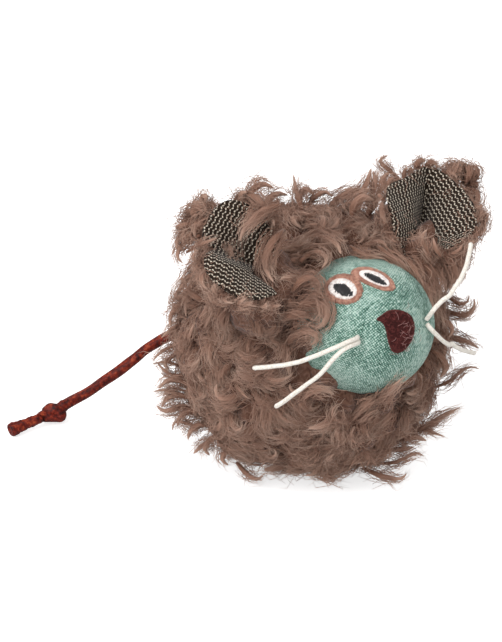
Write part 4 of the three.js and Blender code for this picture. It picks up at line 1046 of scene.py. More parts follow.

# Locks listed one by one, by the body that they ride on: over the brow and cheeks, on the ears and at the outline.
# Each has its radius and its points from root to tip, in mm
placedLocks = {
    "body": [
        (2.2, [
            (-16.9, -19.7, 86.7), (-11.5, -16.8, 86.7), (-9.4, -19.9, 88.2), (-9.4, -24, 87.2),
            (-12.3, -25, 85.3),
        ]),
        (2.6, [
            (-25.2, -28, 82.1), (-22.6, -29.2, 86.3), (-18, -29, 85.6), (-16.6, -30.5, 82.2),
            (-20.4, -31.7, 80.7),
        ]),
        (3, [
            (-26.5, -29.6, 73.9), (-24.5, -32.3, 78.9), (-19, -33.1, 79.1), (-18.8, -38.5, 78.4),
            (-20.4, -39.9, 75.2), (-22, -36, 71.9),
        ]),
        (2.6, [
            (-26.7, -27.1, 62.4), (-25.8, -32.1, 69), (-23.4, -36.4, 71.5), (-22.2, -38.7, 69.3),
            (-24.6, -37.2, 66.7),
        ]),
        (2.2, [(-21.7, -29.7, 76.8), (-19.8, -31.4, 80.7), (-17.9, -33, 80.2), (-19.4, -33.7, 77.7)]),
        (2.2, [(-25.3, -33.5, 45), (-24.9, -39.8, 51.1), (-22.3, -43.4, 52.9), (-19.4, -44.8, 50.8)]),
        (2.2, [(-3.1, -42.1, 39.2), (-3.3, -48.8, 47.3), (-2.5, -54.2, 54.3), (-0.9, -56.3, 57.8)]),
        (2.4, [(-3.5, -6.1, 86), (-3.2, -14, 88.8), (-2.8, -20.3, 88.7), (-4.3, -24.3, 87.7)]),
        (2.1, [(27, -30.8, 77.5), (24.2, -31.8, 82.4), (22.4, -31.6, 86)]),
        (2, [(24.9, -33, 82.2), (24.2, -30.5, 85.3), (24.2, -28.6, 88), (26.3, -28.4, 90.3)]),
        (1.8, [(28, -34.3, 82.2), (27.2, -31.9, 85), (27.5, -30.2, 87.8)]),
        (2.2, [(37.8, -16.5, 67.7), (39.5, -19.4, 65.1), (39.9, -21.8, 62), (38.1, -22.8, 58.8)]),
        (2.6, [(23.2, 8.1, 83.9), (26, 8.7, 87.4), (28.7, 9.4, 90.8), (30.6, 10.5, 94.3)]),
        (2.2, [(25.9, 6.1, 83.4), (28.6, 6.7, 86.8), (30.5, 7.9, 90.3), (31, 9.9, 93.7)]),
        (2.9, [(24.2, 3.7, 80.6), (26.6, 4.1, 83.2), (29.3, 4.9, 85.6), (31.6, 5.9, 88.6)]),
        (3.4, [(30.9, -28.4, 82), (32.8, -32, 79.4), (35.4, -32.2, 72.8), (33.5, -30.1, 66)]),
        (3, [(37.5, -24.7, 82.1), (39.7, -28.5, 79.5), (41.6, -27.9, 72.6), (38, -28.8, 67.8)]),
        (3, [(23.4, -29.1, 80.8), (24.6, -33.1, 77.1), (28.4, -32.6, 69.8), (28.8, -32.4, 64.4)]),
        (2, [(38.6, -17.8, 52.8), (41, -23.7, 52.3), (43.9, -27, 52.2), (46.6, -28.3, 54.7), (47.5, -26.8, 57.9)]),
        (2.4, [(36.5, -21.2, 45.9), (39.3, -27.6, 45.1), (41.9, -32, 45), (43.6, -36.5, 44)]),
        (1.7, [(28.8, -30.7, 30.6), (33.6, -33, 32.6), (37.6, -34, 35.7), (40.8, -35.2, 37.3), (43.1, -37.6, 37)]),
        (2.2, [(17, -32.7, 16.8), (22.9, -35.1, 19.6), (29.3, -37.3, 23.4), (34.7, -39.3, 25.8)]),
        (1.6, [(17.3, -31.6, 18.5), (22.6, -35.5, 18.8), (27.8, -40.9, 17.2)]),
        (1.8, [(6.1, -31.8, 9), (11.9, -35.1, 9.6), (18.1, -37.6, 12.4), (20.2, -39.9, 11.4)]),
        (2.4, [(1.8, -30, 7.9), (6.6, -34.7, 5.7), (11.2, -38.7, 5.1), (13.8, -39, 6.7)]),
        (1.8, [(-39.6, 11.7, 26.9), (-44, 15.3, 28.8), (-47.1, 17.3, 29.6), (-49.8, 18.5, 29.1)]),
        (2.6, [(-38.8, 9.2, 24.1), (-44.1, 12.1, 24.3), (-48.4, 13.8, 23.6), (-50.2, 16.1, 25.4)]),
        (1.7, [(-39.6, 5.3, 18.6), (-43.2, 8.5, 20), (-46.3, 10.3, 20.5), (-48, 9.5, 17.9)]),
        (2.2, [(-36.8, 1.1, 15.1), (-40.8, 2.3, 13.5), (-44.2, 2.4, 11.4)]),
        (2, [(2.3, 8.2, 85.7), (4.1, 13.4, 88.4), (8.5, 22.2, 88.2), (8.6, 24.2, 92.1)]),
        (3, [(11.4, 8.3, 83), (18.8, 13.5, 83.8), (23.4, 12.1, 86.4), (27.1, 9.9, 87.4), (27.8, 7.8, 84.4)]),
        (3, [(-6.6, 29.4, 84.3), (-4.2, 29.4, 87.3), (-0.6, 28.2, 89.1), (2.3, 26, 87.8)]),
        (2.4, [(9.7, 17.8, 81.9), (13, 17.4, 85.3), (16.3, 16.4, 86.7), (17.9, 13.9, 85.5)]),
        (1.3, [(-39, 17.7, 36.1), (-43.3, 20.8, 37.4), (-47.6, 22.7, 37.1)]),
        (1.5, [(-38.7, 15.6, 33.2), (-43.2, 18.4, 34), (-45, 20.6, 35.7), (-46.2, 22.5, 37.9)]),
        (2.2, [(-32.6, -6.1, 8.9), (-31.1, -9.9, 6.1), (-28.9, -12.7, 4.6), (-26.6, -14, 5.7)]),
        (2.2, [(-10.4, -21.9, 9.2), (-13.2, -30.9, 10.8), (-6.7, -28.5, 5.6)]),
        (2.8, [(-38.3, 12.5, 30.8), (-41.7, 15.8, 32.5), (-44.9, 17.6, 32.2), (-48.1, 18.1, 29.9)]),
        (2.8, [(-39, 10.1, 26.8), (-42.8, 13.4, 28.2), (-46.5, 15, 27.1), (-49, 14.8, 24.5)]),
        (3, [(-37.3, 6.6, 23.4), (-41.1, 9.2, 23.7), (-44.5, 10.1, 21.9), (-46.2, 9.2, 19.1)]),
        (3, [(-36.2, 3.3, 19.7), (-39.9, 5.6, 19.7), (-43, 6.2, 17.7), (-44.3, 5.4, 15.3)]),
        (2.8, [(-34.2, 0.2, 17.1), (-38.1, 1.4, 15.4), (-40.3, 1.1, 12.8), (-39.5, -0.8, 10.8)]),
        (2.6, [(-30.1, -4.5, 14.3), (-34, -3.2, 12.6), (-36.5, -3.4, 10), (-35.1, -5.6, 8)]),
        (2.6, [(-33.1, 20.6, 58.2), (-36.9, 22, 56.8), (-40.3, 22.2, 53.9), (-41.7, 20.5, 50.2)]),
        (2.2, [(-32.4, 21.9, 48.9), (-36.3, 23.8, 48.1), (-39.7, 24.7, 46.3), (-42.6, 25.1, 44.3)]),
        (1.7, [(-36.1, 19.7, 43.1), (-40.1, 21.6, 42.2), (-44, 22.8, 40.5), (-47.3, 23.2, 37.9)]),
        (1.8, [(-37.3, 19.1, 40.3), (-40.8, 20.5, 39.2), (-43.8, 20.7, 36.9), (-42.9, 19, 35.1)]),
        (3.2, [(-1.7, 23.4, 80.3), (-0.6, 25.1, 83.8), (2.4, 24.8, 86.1), (5.6, 22.5, 85.8)]),
        (2.4, [(8, 18.8, 82.7), (9, 20.3, 85.8), (11.2, 20.1, 87.6), (12.9, 17.9, 85.8)]),
        (3.4, [(13.4, -4.2, 87), (15, -2.8, 90.4), (18.2, -3.3, 92.7), (21.3, -5.8, 91.8)]),
        (2.6, [(36.5, -16.5, 70.5), (39.6, -18.6, 68.6), (41.4, -20.4, 65), (40.6, -21.4, 61.2)]),
        (1.8, [
            (38.5, -18.9, 59.5), (40.9, -21.8, 57.5), (43.4, -24.7, 55.5), (45.9, -25.7, 56.3),
            (46.8, -24.9, 58.3),
        ]),
        (2.2, [(32.3, -28.9, 55.5), (34.4, -31.2, 54.1), (34.6, -32.8, 51.8), (32.8, -33.1, 49.8)]),
        (2.8, [(25.4, -33.6, 47.8), (27.8, -36.4, 45.8), (28.3, -38.8, 42.7), (25.7, -39.2, 39.9)]),
        (3.2, [(12.9, -31, 17.3), (16.1, -33.4, 16.7), (19.5, -35.4, 17), (22.3, -37.9, 15.9)]),
        (2.6, [(11.3, -32.4, 13.1), (14.7, -34.3, 13.3), (18.3, -36.2, 13.9)]),
        (3, [(-29.7, -29.3, 73.9), (-27.4, -32.7, 77.1), (-23, -33.4, 75.7), (-21.4, -35.7, 73.8)]),
        (2, [(2.7, -19.1, 86.6), (3.8, -24.5, 85.8), (7, -27.1, 85), (9.9, -29.2, 84.4)]),
        (2, [(10.3, -23.9, 86.6), (11.5, -29.7, 85.2), (13.9, -32.5, 83.3), (15.2, -35.2, 80.5)]),
        (2, [(16, -29.4, 83.8), (16.5, -34.9, 82.2), (17.6, -38, 78.6), (18, -40.5, 75.2)]),
        (2, [(19.4, -34.9, 78.8), (18.3, -40, 76.3), (18.6, -42.4, 73), (18.2, -44.3, 69.9)]),
        (2.3, [(5.3, -16.9, 79.1), (6.9, -19.7, 81.4), (10.3, -21.9, 81.5), (13.1, -24, 80.8)]),
        (2.6, [(7.8, -13.9, 74.1), (9.5, -15.8, 76.2), (12.3, -18.1, 76.1), (14.9, -20, 75.5)]),
        (2.3, [(11.6, -20.7, 79.4), (14.1, -24.8, 80.5), (16.7, -27.3, 79.2), (18.5, -30.1, 77.1)]),
        (2.6, [(13.4, -17.3, 74.4), (16, -20.4, 75.4), (18.4, -22.7, 74.2), (19.5, -25.5, 72.2)]),
        (2.3, [(16.8, -25.1, 77.7), (18.6, -29.6, 77.5), (20.6, -32.7, 74.9), (21.3, -35.4, 71.8)]),
        (2.6, [(17.9, -21.2, 72.8), (20.1, -24.8, 72.7), (21.8, -27.6, 70.3), (21.9, -30.2, 67.6)]),
        (2.3, [(20.6, -29.8, 74), (21.5, -34.8, 72.7), (22, -37.3, 69.5), (21.5, -39.3, 66.5)]),
        (2.6, [(21.2, -25.3, 69.6), (22.3, -29.5, 68.3), (22.5, -31.8, 65.5), (22.1, -33.7, 62.9)]),
    ],
    "ear_left": [
        (2.4, [(47.7, -21.6, 88.7), (50, -25.4, 87.6), (48.4, -28.9, 84.8), (44, -30.7, 82.5)]),
        (2, [(33.3, -2.2, 95.1), (30.4, 0.7, 98.4), (28.9, 3.2, 100.7), (31.6, 2.5, 102.1)]),
        (3, [(27.8, -9, 91.5), (26.8, -4.7, 93.6), (28.2, -0.3, 95.7), (31.6, 0.1, 97.6)]),
    ],
    "ear_right": [
        (2.6, [
            (-19.1, -13.5, 105.4), (-25.3, -13.9, 106), (-30.1, -13.2, 103.5), (-34.6, -13.8, 100.3),
            (-36.4, -15, 97.1),
        ]),
        (2.6, [
            (-22, -18.2, 99), (-27.4, -20.8, 98.3), (-30.4, -20.9, 94.1), (-30.9, -21.7, 88.9),
            (-31.5, -27.4, 87),
        ]),
        (2.2, [(-27.3, -2.8, 107.1), (-26.6, -9.4, 107.9), (-26.2, -13, 105.2), (-29.7, -14.3, 102.4)]),
        (1.5, [(-52.2, -8.3, 95.1), (-47.6, -10.3, 97.7), (-42.3, -11.3, 98.9)]),
        (2, [(-42.1, 1.5, 95.2), (-45.5, 2.1, 93), (-48.4, 2.3, 90.5), (-49.7, 1.4, 88), (-48.6, -0.4, 86.3)]),
        (2.2, [(-41.8, 3.2, 98), (-45.5, 3.9, 95.5), (-48.3, 3.7, 92.7), (-49.4, 2.5, 89.9)]),
    ],
}


# Curled pile: soft mauve-brown fibre with a dull sheen, dark at the root and lighter toward the tip. The dark root is
# partly the fibre's own tone and partly painted shade deep among the locks. Its map runs over the tones of the locks
# one way and from root to tip the other
def curledPile(name, relief=None):
    nodes = [
        ("place", "UVMap", {"uv_map": "OFBake"}),
        ("parts", "SeparateXYZ", {"Vector": "place"}),
        # From root to tip: the darkest stop at the root is partly painted shade among the locks
        ("along", "ValToRGB", {
            "stops": [(0.0, "#41271d"), (0.3, "#7a5848"), (0.62, "#a07d6c"), (1.0, "#c6a998")], "Fac": "parts.Y",
        }),
        ("fibres", "VectorMath", "MULTIPLY", "place", (520, 7, 0)),
        ("streaks", "TexNoise", {"Scale": 1.0, "Detail": 3, "Vector": "fibres"}),
        ("tone", "MapRange", {"To Min": 0.86, "To Max": 1.16, "Value": "parts.X"}),
        ("streak", "MapRange", {
            "From Min": 0.3, "From Max": 0.7, "To Min": 0.84, "To Max": 1.16, "Value": "streaks",
        }),
        ("value", "Math", "MULTIPLY", "tone", "streak"),
        ("varied", "HueSaturation", {"Color": "along", "Value": "value"}),
    ]
    shader = {
        "Roughness": 0.8, "Specular IOR Level": 0.15, "Sheen Weight": 0.25, "Sheen Tint": colour("#e6d6cb"),
        "Base Color": "varied",
    }
    if relief:
        nodes.append(("relief", "Bump", {**relief, "Height": "streaks"}))
        shader["Normal"] = "relief"
    return newMaterial(name, shader, nodes)


pile = curledPile("curled_pile")
matted = curledPile("matted_pile", {"Strength": 0.7, "Distance": 0.4 * mm})


def rotated(vectors, axes, angles):
    c, s = np.cos(angles)[..., None], np.sin(angles)[..., None]
    dot = (vectors * axes).sum(-1, keepdims=True)
    return vectors * c + np.cross(axes, vectors) * s + axes * dot * (1 - c)


# Centre lines of locks from their roots, the way they first point and the way they curl
def lockLines(roots, firstWays, curlAxes, lengths, turns, draw):
    stations = fur["stations"]
    share = np.linspace(0, 1, stations)
    angles = turns[:, None] * share[None] ** 1.5
    ways = rotated(np.repeat(firstWays[:, None], stations, 1), np.repeat(curlAxes[:, None], stations, 1), angles)
    ways = unit(ways + np.array([0, 0, -fur["droop"]]) * share[None, :, None])
    steps = ways * (lengths / (stations - 1))[:, None, None]
    lines = roots[:, None] + np.concatenate([np.zeros_like(steps[:, :1]), np.cumsum(steps[:, :-1], 1)], 1)
    phase = draw.uniform(0, 2 * np.pi, (len(roots), 1))
    wave = np.sin(share[None] * 2 * np.pi * fur["waves"] + phase) * fur["waveMm"] * mm * share[None]
    return lines + np.cross(ways, curlAxes[:, None]) * wave[..., None]


# A search tree over each ear's sheet, with what is needed to tell which side of it a point lies on
def sheetSearch(hand):
    points, normals = earGrids[hand]
    columns, rows = points.shape[:2]
    i, j = np.meshgrid(np.arange(columns), np.arange(rows), indexing="ij")
    edge = ((i == 0) | (i == columns - 1) | (j == rows - 1)).ravel()
    points = points.reshape(-1, 3)
    tree = KDTree(len(points))
    for k, p in enumerate(points):
        tree.insert(p, k)
    tree.balance()
    return tree, points, normals.reshape(-1, 3), edge


sheetSearches = {hand: sheetSearch(hand) for hand in earPoses}


# The nearest point of an ear's sheet to each point, by number
def nearestOn(hand, points):
    tree = sheetSearches[hand][0]
    return np.array([tree.find(p)[1] for p in points.reshape(-1, 3)])


# Height over the sheet of every point, and whether the point lies over it at all
def overSheet(hand, points):
    _, sheet, normals, edge = sheetSearches[hand]
    nearest = nearestOn(hand, points)
    offset = points.reshape(-1, 3) - sheet[nearest]
    normal = normals[nearest]
    height = (offset * normal).sum(-1)
    beside = np.linalg.norm(offset - normal * height[:, None], axis=-1)
    over = beside < np.where(edge[nearest], fit["sheetRim"], fit["sheetReach"])
    over = over & (np.abs(height) < fit["sheetHeight"])
    shape = points.shape[:-1]
    return height.reshape(shape), over.reshape(shape), normal.reshape(points.shape)


# The underlayer gives way where an ear's sheet passes through it
def clearOfEars(points):
    for hand in earPoses:
        height, over, normal = overSheet(hand, points)
        ways = unit(points - bodyCentre)
        slope = np.maximum((normal * ways).sum(-1), 0.35)
        give = np.clip((height + 2 * mm) / slope, 0, 8 * mm) * over
        points = points - ways * give[:, None]
    return points


skin.data.vertices.foreach_set("co", clearOfEars(skinPlaces).ravel())


# Draws points in toward an ear's sheet that stand further off it than their room
def nearSheet(hand, points, room):
    nearest = sheetSearches[hand][1][nearestOn(hand, points)].reshape(points.shape)
    off = np.maximum(np.linalg.norm(points - nearest, axis=-1, keepdims=True), 1e-9)
    return nearest + (points - nearest) * np.where(off > room, room + (off - room) * 0.25, off) / off


# Keeps lock lines between the backing and their reach, off the linen, above the floor and out of the ears.
# Also tells how far each line had to give way
def settled(lines, reach, radius, behindEar):
    before = lines
    offset = lines - bodyCentre
    distance = np.linalg.norm(offset, axis=-1)
    ways = offset / np.maximum(distance, 1e-9)[..., None]
    flatWays = ways.reshape(-1, 3)
    outer = (skinDistance(flatWays, 0) - hollowDepth(flatWays)).reshape(distance.shape)
    outer = outer + (reach - radius * fit["inSurface"])[:, None]
    inner = skinDistance(flatWays, body["rootDepth"]).reshape(distance.shape) + radius[:, None] * fit["offBacking"]
    distance = np.where(distance > outer, outer + (distance - outer) * fit["beyond"], distance)
    lines = bodyCentre + ways * np.maximum(distance, inner)[..., None]
    fromFace = lines - faceMiddle
    gap = np.linalg.norm(fromFace, axis=-1)
    faceWays = fromFace / np.maximum(gap, 1e-9)[..., None]
    clear = faceRadiusAt(faceWays.reshape(-1, 3)).reshape(gap.shape) + radius[:, None] * fit["offFace"] + fit["face"]
    overFace = np.maximum(clear - gap, 0).sum(1)
    lines = faceMiddle + faceWays * np.maximum(gap, clear)[..., None]
    overEar = np.zeros(len(lines))
    for hand, behind in behindEar.items():
        height, over, normal = overSheet(hand, lines)
        inFront = np.maximum(height, radius[:, None] + fit["earFront"])
        free = np.where(behind[:, None], np.minimum(height, -fit["earBehind"]), inFront)
        overEar += (over & ~behind[:, None]).sum(1)
        lines = lines + normal * (np.where(over, free, height) - height)[..., None]
    lines[..., 2] = np.maximum(lines[..., 2], fur["floor"] + radius[:, None] * fit["floor"])
    moved = np.linalg.norm(lines - before, axis=-1).mean(1)
    return lines, moved + overFace * fit["faceCost"] + overEar * fit["earCost"], overEar


def alongLines(lines, share):
    at = np.clip(share, 0, 1) * (lines.shape[1] - 1)
    low = np.minimum(at.astype(int), lines.shape[1] - 2)
    rest = (at - low)[..., None]
    row = np.arange(len(lines))[:, None]
    beyond = np.maximum(share - 1, 0)[..., None]
    last = (lines[:, -1] - lines[:, -2])[:, None] * (lines.shape[1] - 1)
    return lines[row, low] * (1 - rest) + lines[row, low + 1] * rest + last * beyond


# Width of a lock along it, in shares of its radius: fullest past the middle, then a round blunt tip
def lockWidth(share):
    return (0.6 + 0.4 * smoothStep(share, 0, 0.35)) * (1 - 0.6 * smoothStep(share, 0.5, 1.0))


# The strip of the map that holds each tone
def toneStrip(tone):
    low = np.floor(tone * fur["tones"]) / fur["tones"]
    return low, low + 1 / fur["tones"]


def lockCores(name, lines, radius, tone, firstSide):
    share = np.array([0, 0.12, 0.25, 0.38, 0.5, 0.62, 0.73, 0.83, 0.91, 0.96, 0.985])
    paths = alongLines(lines, np.tile(share, (len(lines), 1)))
    width = lockWidth(share) * np.sqrt(1 - smoothStep(share, 0.8, 1.0) ** 2 * 0.9)
    radii = radius[:, None] * width[None] * fur["coreShare"]
    along = np.tile(0.2 + 0.6 * share, (len(lines), 1))
    return tubes(name, paths, radii, 8, firstSide, *fur["section"], toneStrip(tone), along)


# Fine hairs over a lock: they lift off its core toward their tips, twist round it, and some stand astray
def lockHairs(name, lines, radius, tone, firstSide, perLock, draw):
    of = np.repeat(np.arange(len(lines)), perLock)
    count = len(of)
    stations = hair["stations"]
    way = np.linspace(0, 1, stations)[None]
    start = draw.uniform(*hair["start"], count)
    stop = np.maximum(draw.uniform(*hair["stop"], count), start + hair["least"])
    share = start[:, None] + (stop - start)[:, None] * way
    centre = alongLines(lines[of], share)
    across, over = carriedSides(centre, firstSide[of])
    ofLock, ofHair = hair["twist"]
    twist = draw.normal(0, ofLock, len(lines))[of] + draw.normal(0, ofHair, count)
    angle = draw.uniform(0, 2 * np.pi, count)[:, None] + twist[:, None] * share
    lift = draw.uniform(0, hair["lift"], count)[:, None] * way**1.5
    width = lockWidth(np.clip(share, 0, 1)) * (draw.uniform(*hair["spread"], count)[:, None] + lift)
    astray = draw.random(count) < hair["astrayShare"]
    spread = radius[of, None] * width
    spread = spread + np.where(astray, draw.uniform(*hair["astrayMm"], count), 0)[:, None] * mm * share**1.5
    middle = np.linspace(-1, 1, stations)[None, :, None]
    bends = draw.normal(0, hair["frizz"], (2, count, 1, 3)) * np.where(astray, hair["astrayBend"], 1)[:, None, None]
    frizz = bends[0] * middle**2 + bends[1] * middle * (1 - middle**2) * 1.6
    frizz = frizz + draw.normal(0, hair["crimp"], (count, stations, 3)) * share[..., None]
    paths = centre + across * (np.cos(angle) * spread * 0.9)[..., None]
    paths = paths + over * (np.sin(angle) * spread * fur["section"][0])[..., None] + frizz
    paths[..., 2] = np.maximum(paths[..., 2], fur["floor"])
    radii = hair["radius"] * draw.uniform(0.6, 1.3, count)[:, None] * np.array(hair["taper"])[None]
    hairTone = np.clip(tone[of] + draw.normal(0, 0.12, count), 0, 0.999)
    along = np.clip(0.22 + 0.74 * share, 0, 1)
    return tubes(name, paths, radii, 3, firstSide[of], 1, 1, toneStrip(hairTone), along)


# Roots of the body's locks: the way out to each, its place, and the tuft it belongs to
def lockRoots(draw):
    scale = skinDistance(tuftWays, 0) / body["ballRadius"]
    perTuft = np.round(fur["perTuft"] * scale**2).astype(int)
    of = np.repeat(np.arange(tuftCount), perTuft)
    inTuft = np.concatenate([np.arange(n) for n in perTuft])
    away = np.sqrt((inTuft + 0.4) / perTuft[of]) * fur["spread"] * body["tuftSpacing"] / body["ballRadius"]
    around = inTuft * 2.4 + draw.uniform(0, 2 * np.pi, tuftCount)[of]
    first, second = sideWays(tuftWays)
    aside = first[of] * np.cos(around)[:, None] + second[of] * np.sin(around)[:, None]
    ways = tuftWays[of] + aside * away[:, None]
    ways = unit(ways + draw.normal(0, 0.02, ways.shape))
    roots = skinPoint(ways, body["rootDepth"])
    keep = (np.linalg.norm(roots - faceMiddle, axis=-1) > face["radius"] + 1.5 * mm) & (roots[:, 2] > 3.4 * mm)
    return ways[keep], roots[keep], of[keep]


# Each lock is tried a few times, and stays as it had to give way least. Those that lay over an ear are left out
def bodyLocks():
    draw = np.random.default_rng(fur["seed"])
    ways, roots, of = lockRoots(draw)
    normals = skinNormal(ways, body["rootDepth"])
    count = len(roots)
    low = smoothStep(-normals[:, 2], 0.2, 0.8)[:, None]
    pull = unit(np.array([0, 0, -1.0]) * (1 - low) + unit(roots * [1, 1, 0]) * low * 1.2)
    natural = squareTo(pull, normals)
    swirl = draw.normal(0, math.radians(fur["swirlDeg"]), tuftCount)[of]
    tuftHand = np.sign(draw.normal(0, 1, tuftCount))[of]
    fromFace = np.linalg.norm(roots - faceMiddle, axis=-1)
    apart = squareTo(roots - faceMiddle, normals)
    nearFace = 1 - smoothStep(fromFace, face["radius"] + 2 * mm, face["radius"] + 8 * mm)[:, None]
    behind = {hand: overSheet(hand, roots)[0] < 0 for hand in earPoses}
    radius = draw.uniform(*fur["radius"], count)
    stray = draw.random(count) < fur["strayShare"]
    reach = np.where(stray, fur["strayReach"], fur["reach"] * draw.uniform(0.2, 1.5, count))
    radius = radius * np.where(stray, 0.7, 1)
    best, cost, covering = None, None, None
    for _ in range(fur["tries"]):
        lay = rotated(natural, normals, swirl + np.radians(draw.normal(0, fur["leanDeg"], count)))
        lay = unit(lay * (1 - nearFace * 0.7) + apart * nearFace * 0.7)
        rise = np.radians(draw.uniform(*fur["riseDeg"], count))
        firstWays = unit(normals * np.sin(rise)[:, None] + lay * np.cos(rise)[:, None])
        side = np.cross(normals, firstWays)
        mix = draw.uniform(0, 1, (count, 1))
        curlHand = (tuftHand * np.where(draw.random(count) < 0.85, 1, -1))[:, None]
        curlAxes = unit(normals * (1 - mix) * curlHand + side * mix * draw.uniform(0.3, 1, (count, 1)))
        curlAxes = unit(curlAxes - firstWays * (curlAxes * firstWays).sum(-1, keepdims=True) * 0.7)
        lengths = draw.uniform(*fur["length"], count) * np.where(stray, 1.25, 1)
        turns = np.radians(draw.uniform(*fur["turnDeg"], count)) * np.where(stray, 0.6, 1)
        lines = lockLines(roots, firstWays, curlAxes, lengths, turns, draw)
        lines, given, overEar = settled(lines, reach, radius, behind)
        if best is None:
            best, cost, covering = lines, given, overEar
        better = given < cost
        best = np.where(better[:, None, None], lines, best)
        cost, covering = np.where(better, given, cost), np.where(better, overEar, covering)
    tone = np.clip(draw.normal(0.5, 0.2, tuftCount)[of] + draw.normal(0, 0.1, count), 0, 0.999)
    clear = covering < fur["coverStations"]
    return best[clear], radius[clear], tone[clear], normals[clear]


# Cores and hairs of many locks. The hairs are shared out round the toy among pieces of a size
def furPieces(name, lines, radius, tone, normals, bodyName, seed, nodes=()):
    draw = np.random.default_rng(seed)
    lineLengths = np.linalg.norm(np.diff(lines, axis=1), axis=2).sum(1)
    size = lineLengths * radius / fur["fullSize"]
    low = smoothStep(9 * mm - lines[:, 0, 2], 0, 4 * mm)
    perLock = np.round(hair["perLock"] * np.clip(size, 0.35, 2.5) * (1 - 0.5 * low)).astype(int)
    core = lockCores(f"{name}_locks", lines, radius, tone, normals)
    dress(core, matted, bodyName, "pile_fabric", *nodes)
    order = np.argsort(np.arctan2(lines[:, 0, 1], lines[:, 0, 0]))
    trianglesPerHair = (hair["stations"] - 2) * 6 + 4
    groups = math.ceil(perLock.sum() * trianglesPerHair / fur["trianglesPerPiece"])
    share = np.cumsum(perLock[order]) / perLock.sum()
    for g in range(groups):
        part = order[(share > g / groups) & (share <= (g + 1) / groups + 1e-9)]
        picked = (values[part] for values in (lines, radius, tone, normals, perLock))
        dress(lockHairs(f"{name}_hairs_{g + 1}", *picked, draw), pile, bodyName, "pile_fabric")
    print(name, len(lines), "locks", perLock.sum(), "hairs")


# The placed locks of one body as centre lines, evenly sampled
def placedLines(rides):
    lines = []
    for _, points in placedLocks[rides]:
        line = smoothRoute(np.array(points) * mm, 8)
        at = np.concatenate([[0], np.cumsum(np.linalg.norm(np.diff(line, axis=0), axis=1))])
        even = np.linspace(0, at[-1], fur["stations"])
        lines.append(np.stack([np.interp(even, at, line[:, k]) for k in range(3)], -1))
    lines = np.array(lines)
    radii = np.array([radius for radius, _ in placedLocks[rides]]) * mm
    tone = np.random.default_rng(len(lines)).uniform(0.4, 0.8, len(lines))
    return lines, radii, tone, unit(lines[:, 4] - bodyCentre)


def joinedLocks(*groups):
    return [np.concatenate(parts) for parts in zip(*groups)]


furPieces("fur_body", *joinedLocks(bodyLocks(), placedLines("body")), "body", 21)


# Keeps lock lines behind an ear's sheet
def keptBehind(hand, lines, radius):
    height, over, normal = overSheet(hand, lines)
    free = np.minimum(height, -ear["cloth"] - radius[:, None] * 0.75)
    return lines + normal * (np.where(over, free, height) - height)[..., None]


# Ear backs: locks rooted behind the tweed that stand a little past its rim
def earBack(hand):
    draw = np.random.default_rng(fur["seed"] + earPoses[hand]["side"] + 3)
    points, normals = earGrids[hand]
    columns, rows = points.shape[:2]
    count = earFur["locks"]
    i = draw.integers(2, columns - 2, count)
    j = np.round(np.sqrt(draw.uniform(0.04, 0.98, count)) * (rows - 1)).astype(int)
    normal = normals[i, j]
    roots = points[i, j] - normal * (ear["cloth"] + earFur["rootDepth"])
    rimWay = unit(points[i, -1] - points[i, 0])
    rise = np.radians(draw.uniform(*earFur["riseDeg"], count))[:, None]
    first = unit(-normal * np.sin(rise) + rimWay * np.cos(rise) + draw.normal(0, 0.25, (count, 3)))
    curlHand = np.sign(draw.normal(0, 1, (count, 1)))
    axes = unit(np.cross(first, -normal) * curlHand + normal * draw.normal(0, 0.8, (count, 1)))
    lengths = draw.uniform(*earFur["length"], count)
    lines = lockLines(roots, first, axes, lengths, np.radians(draw.uniform(*earFur["turnDeg"], count)), draw)
    lines = nearSheet(hand, lines, earFur["room"][hand])
    radius = draw.uniform(*earFur["radius"], count)
    tone = np.clip(draw.normal(0.55, 0.18, count), 0, 0.999)
    return keptBehind(hand, lines, radius), radius, tone, -normal


# The tuft of pile that stands out behind an ear's tip
def earTuftLocks(hand):
    draw = np.random.default_rng(fur["seed"] + earPoses[hand]["side"] + 13)
    count = earTuft["locks"]
    out = spiralWays(count)
    turned, place = earPlace(hand)
    half = np.array(earTuft["half"]) * mm
    middle = np.array(earTuft["place"]) * mm @ turned + place
    roots = out * half * 0.3 @ turned + middle
    first = unit(unit(out * half) + draw.normal(0, 0.3, (count, 3))) @ turned
    axes = unit(np.cross(first, draw.normal(0, 1, (count, 3))))
    lengths = draw.uniform(*earTuft["length"], count)
    lines = lockLines(roots, first, axes, lengths, np.radians(draw.uniform(*earTuft["turnDeg"], count)), draw)
    inTuft = (lines - middle) @ turned.T / half
    far = np.maximum(np.linalg.norm(inTuft, axis=-1, keepdims=True), 1e-9)
    kept = np.where(far > earTuft["room"], earTuft["room"] + (far - earTuft["room"]) * 0.3, far)
    lines = (inTuft / far * kept * half) @ turned + middle
    radius = draw.uniform(*earTuft["radius"], count)
    tone = np.clip(draw.normal(0.6, 0.15, count), 0, 0.999)
    return keptBehind(hand, lines, radius), radius, tone, first


for hand in earPoses:
    locks = joinedLocks(earBack(hand), earTuftLocks(hand), placedLines(f"ear_{hand}"))
    furPieces(f"fur_ear_{hand}", *locks, f"ear_{hand}", 31, [f"ear_back_{hand}"])
print("ear fur made")


# Inner pieces that stay as the part has them: cotton knots, the leather root and the filling
def redress(node, material):
    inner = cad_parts[node]
    inner.data.materials.clear()
    inner.data.materials.append(material)


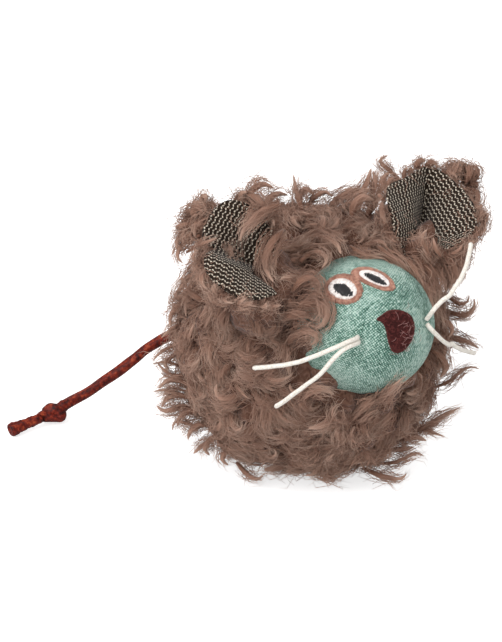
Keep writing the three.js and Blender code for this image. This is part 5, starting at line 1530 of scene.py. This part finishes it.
# Polyester filling: loose white fibre, with pale shadows in its fluff
fibreFilling = mottled(
    "fibre_filling", {"Roughness": 0.95, "Specular IOR Level": 0.1, "Sheen Weight": 0.2}, {"Scale": 300, "Detail": 5},
    [(0.3, "#dcd7cd"), (0.7, "#f6f3ec")],
)
redress("stuffing", fibreFilling)
redress("whisker_knot_left", cotton)
redress("whisker_knot_right", cotton)
redress("tail_root", leather)


# Studio: pale floor, one broad lamp from the upper left, a weaker one from the right and an even sky
studio = {
    "floor": "#d8d8d8", "floorGlow": 0.68, "sky": 0.79, "aim": (0, 0, 0.045), "keyEnergy": 7.3, "keySize": 0.7,
    "fillEnergy": 2.2, "fillSize": 0.9,
}

selectOnly()
bpy.ops.mesh.primitive_plane_add(size=12, location=(0, 0, -0.1 * mm))
floor = bpy.context.object
floor.name = "floor"

# Matt board, which the camera sees brighter than it lights the toy
floor.data.materials.append(newMaterial(
    "pale_floor",
    {
        "Roughness": 1.0, "Specular IOR Level": 0.0, "Base Color": colour(studio["floor"]),
        "Emission Color": (1, 1, 1, 1), "Emission Strength": "glow",
    },
    [("path", "LightPath", {}), ("glow", "Math", "MULTIPLY", "path.Is Camera Ray", studio["floorGlow"])],
))


def addLamp(name, way, distance, size, energy):
    aim = Vector(studio["aim"])
    place = aim + Vector(way).normalized() * distance
    bpy.ops.object.light_add(type="AREA", location=place, rotation=(aim - place).to_track_quat("-Z", "Y").to_euler())
    lamp = bpy.context.object
    lamp.name = name
    lamp.data.size = size
    lamp.data.energy = energy


keyWay = toCamera * 0.7 - toRight * 0.5 + toTop * 0.3
fillWay = toCamera * 0.6 + toRight * 0.8 + toTop * 0.35
addLamp("key_lamp", keyWay, 1.0, studio["keySize"], studio["keyEnergy"])
addLamp("fill_lamp", fillWay, 1.2, studio["fillSize"], studio["fillEnergy"])
world = bpy.data.worlds.new("studio_sky")
bpy.context.scene.world = world
world.use_nodes = True
addNode(world.node_tree, "path", "LightPath", {})
addNode(world.node_tree, "shown", "Math", "MAXIMUM", "path.Is Camera Ray", studio["sky"])
setUp(world.node_tree.nodes["Background"], {"Color": (1, 1, 1, 1), "Strength": "shown"})
bpy.context.scene.view_settings.view_transform = "Standard"
print("studio lit")
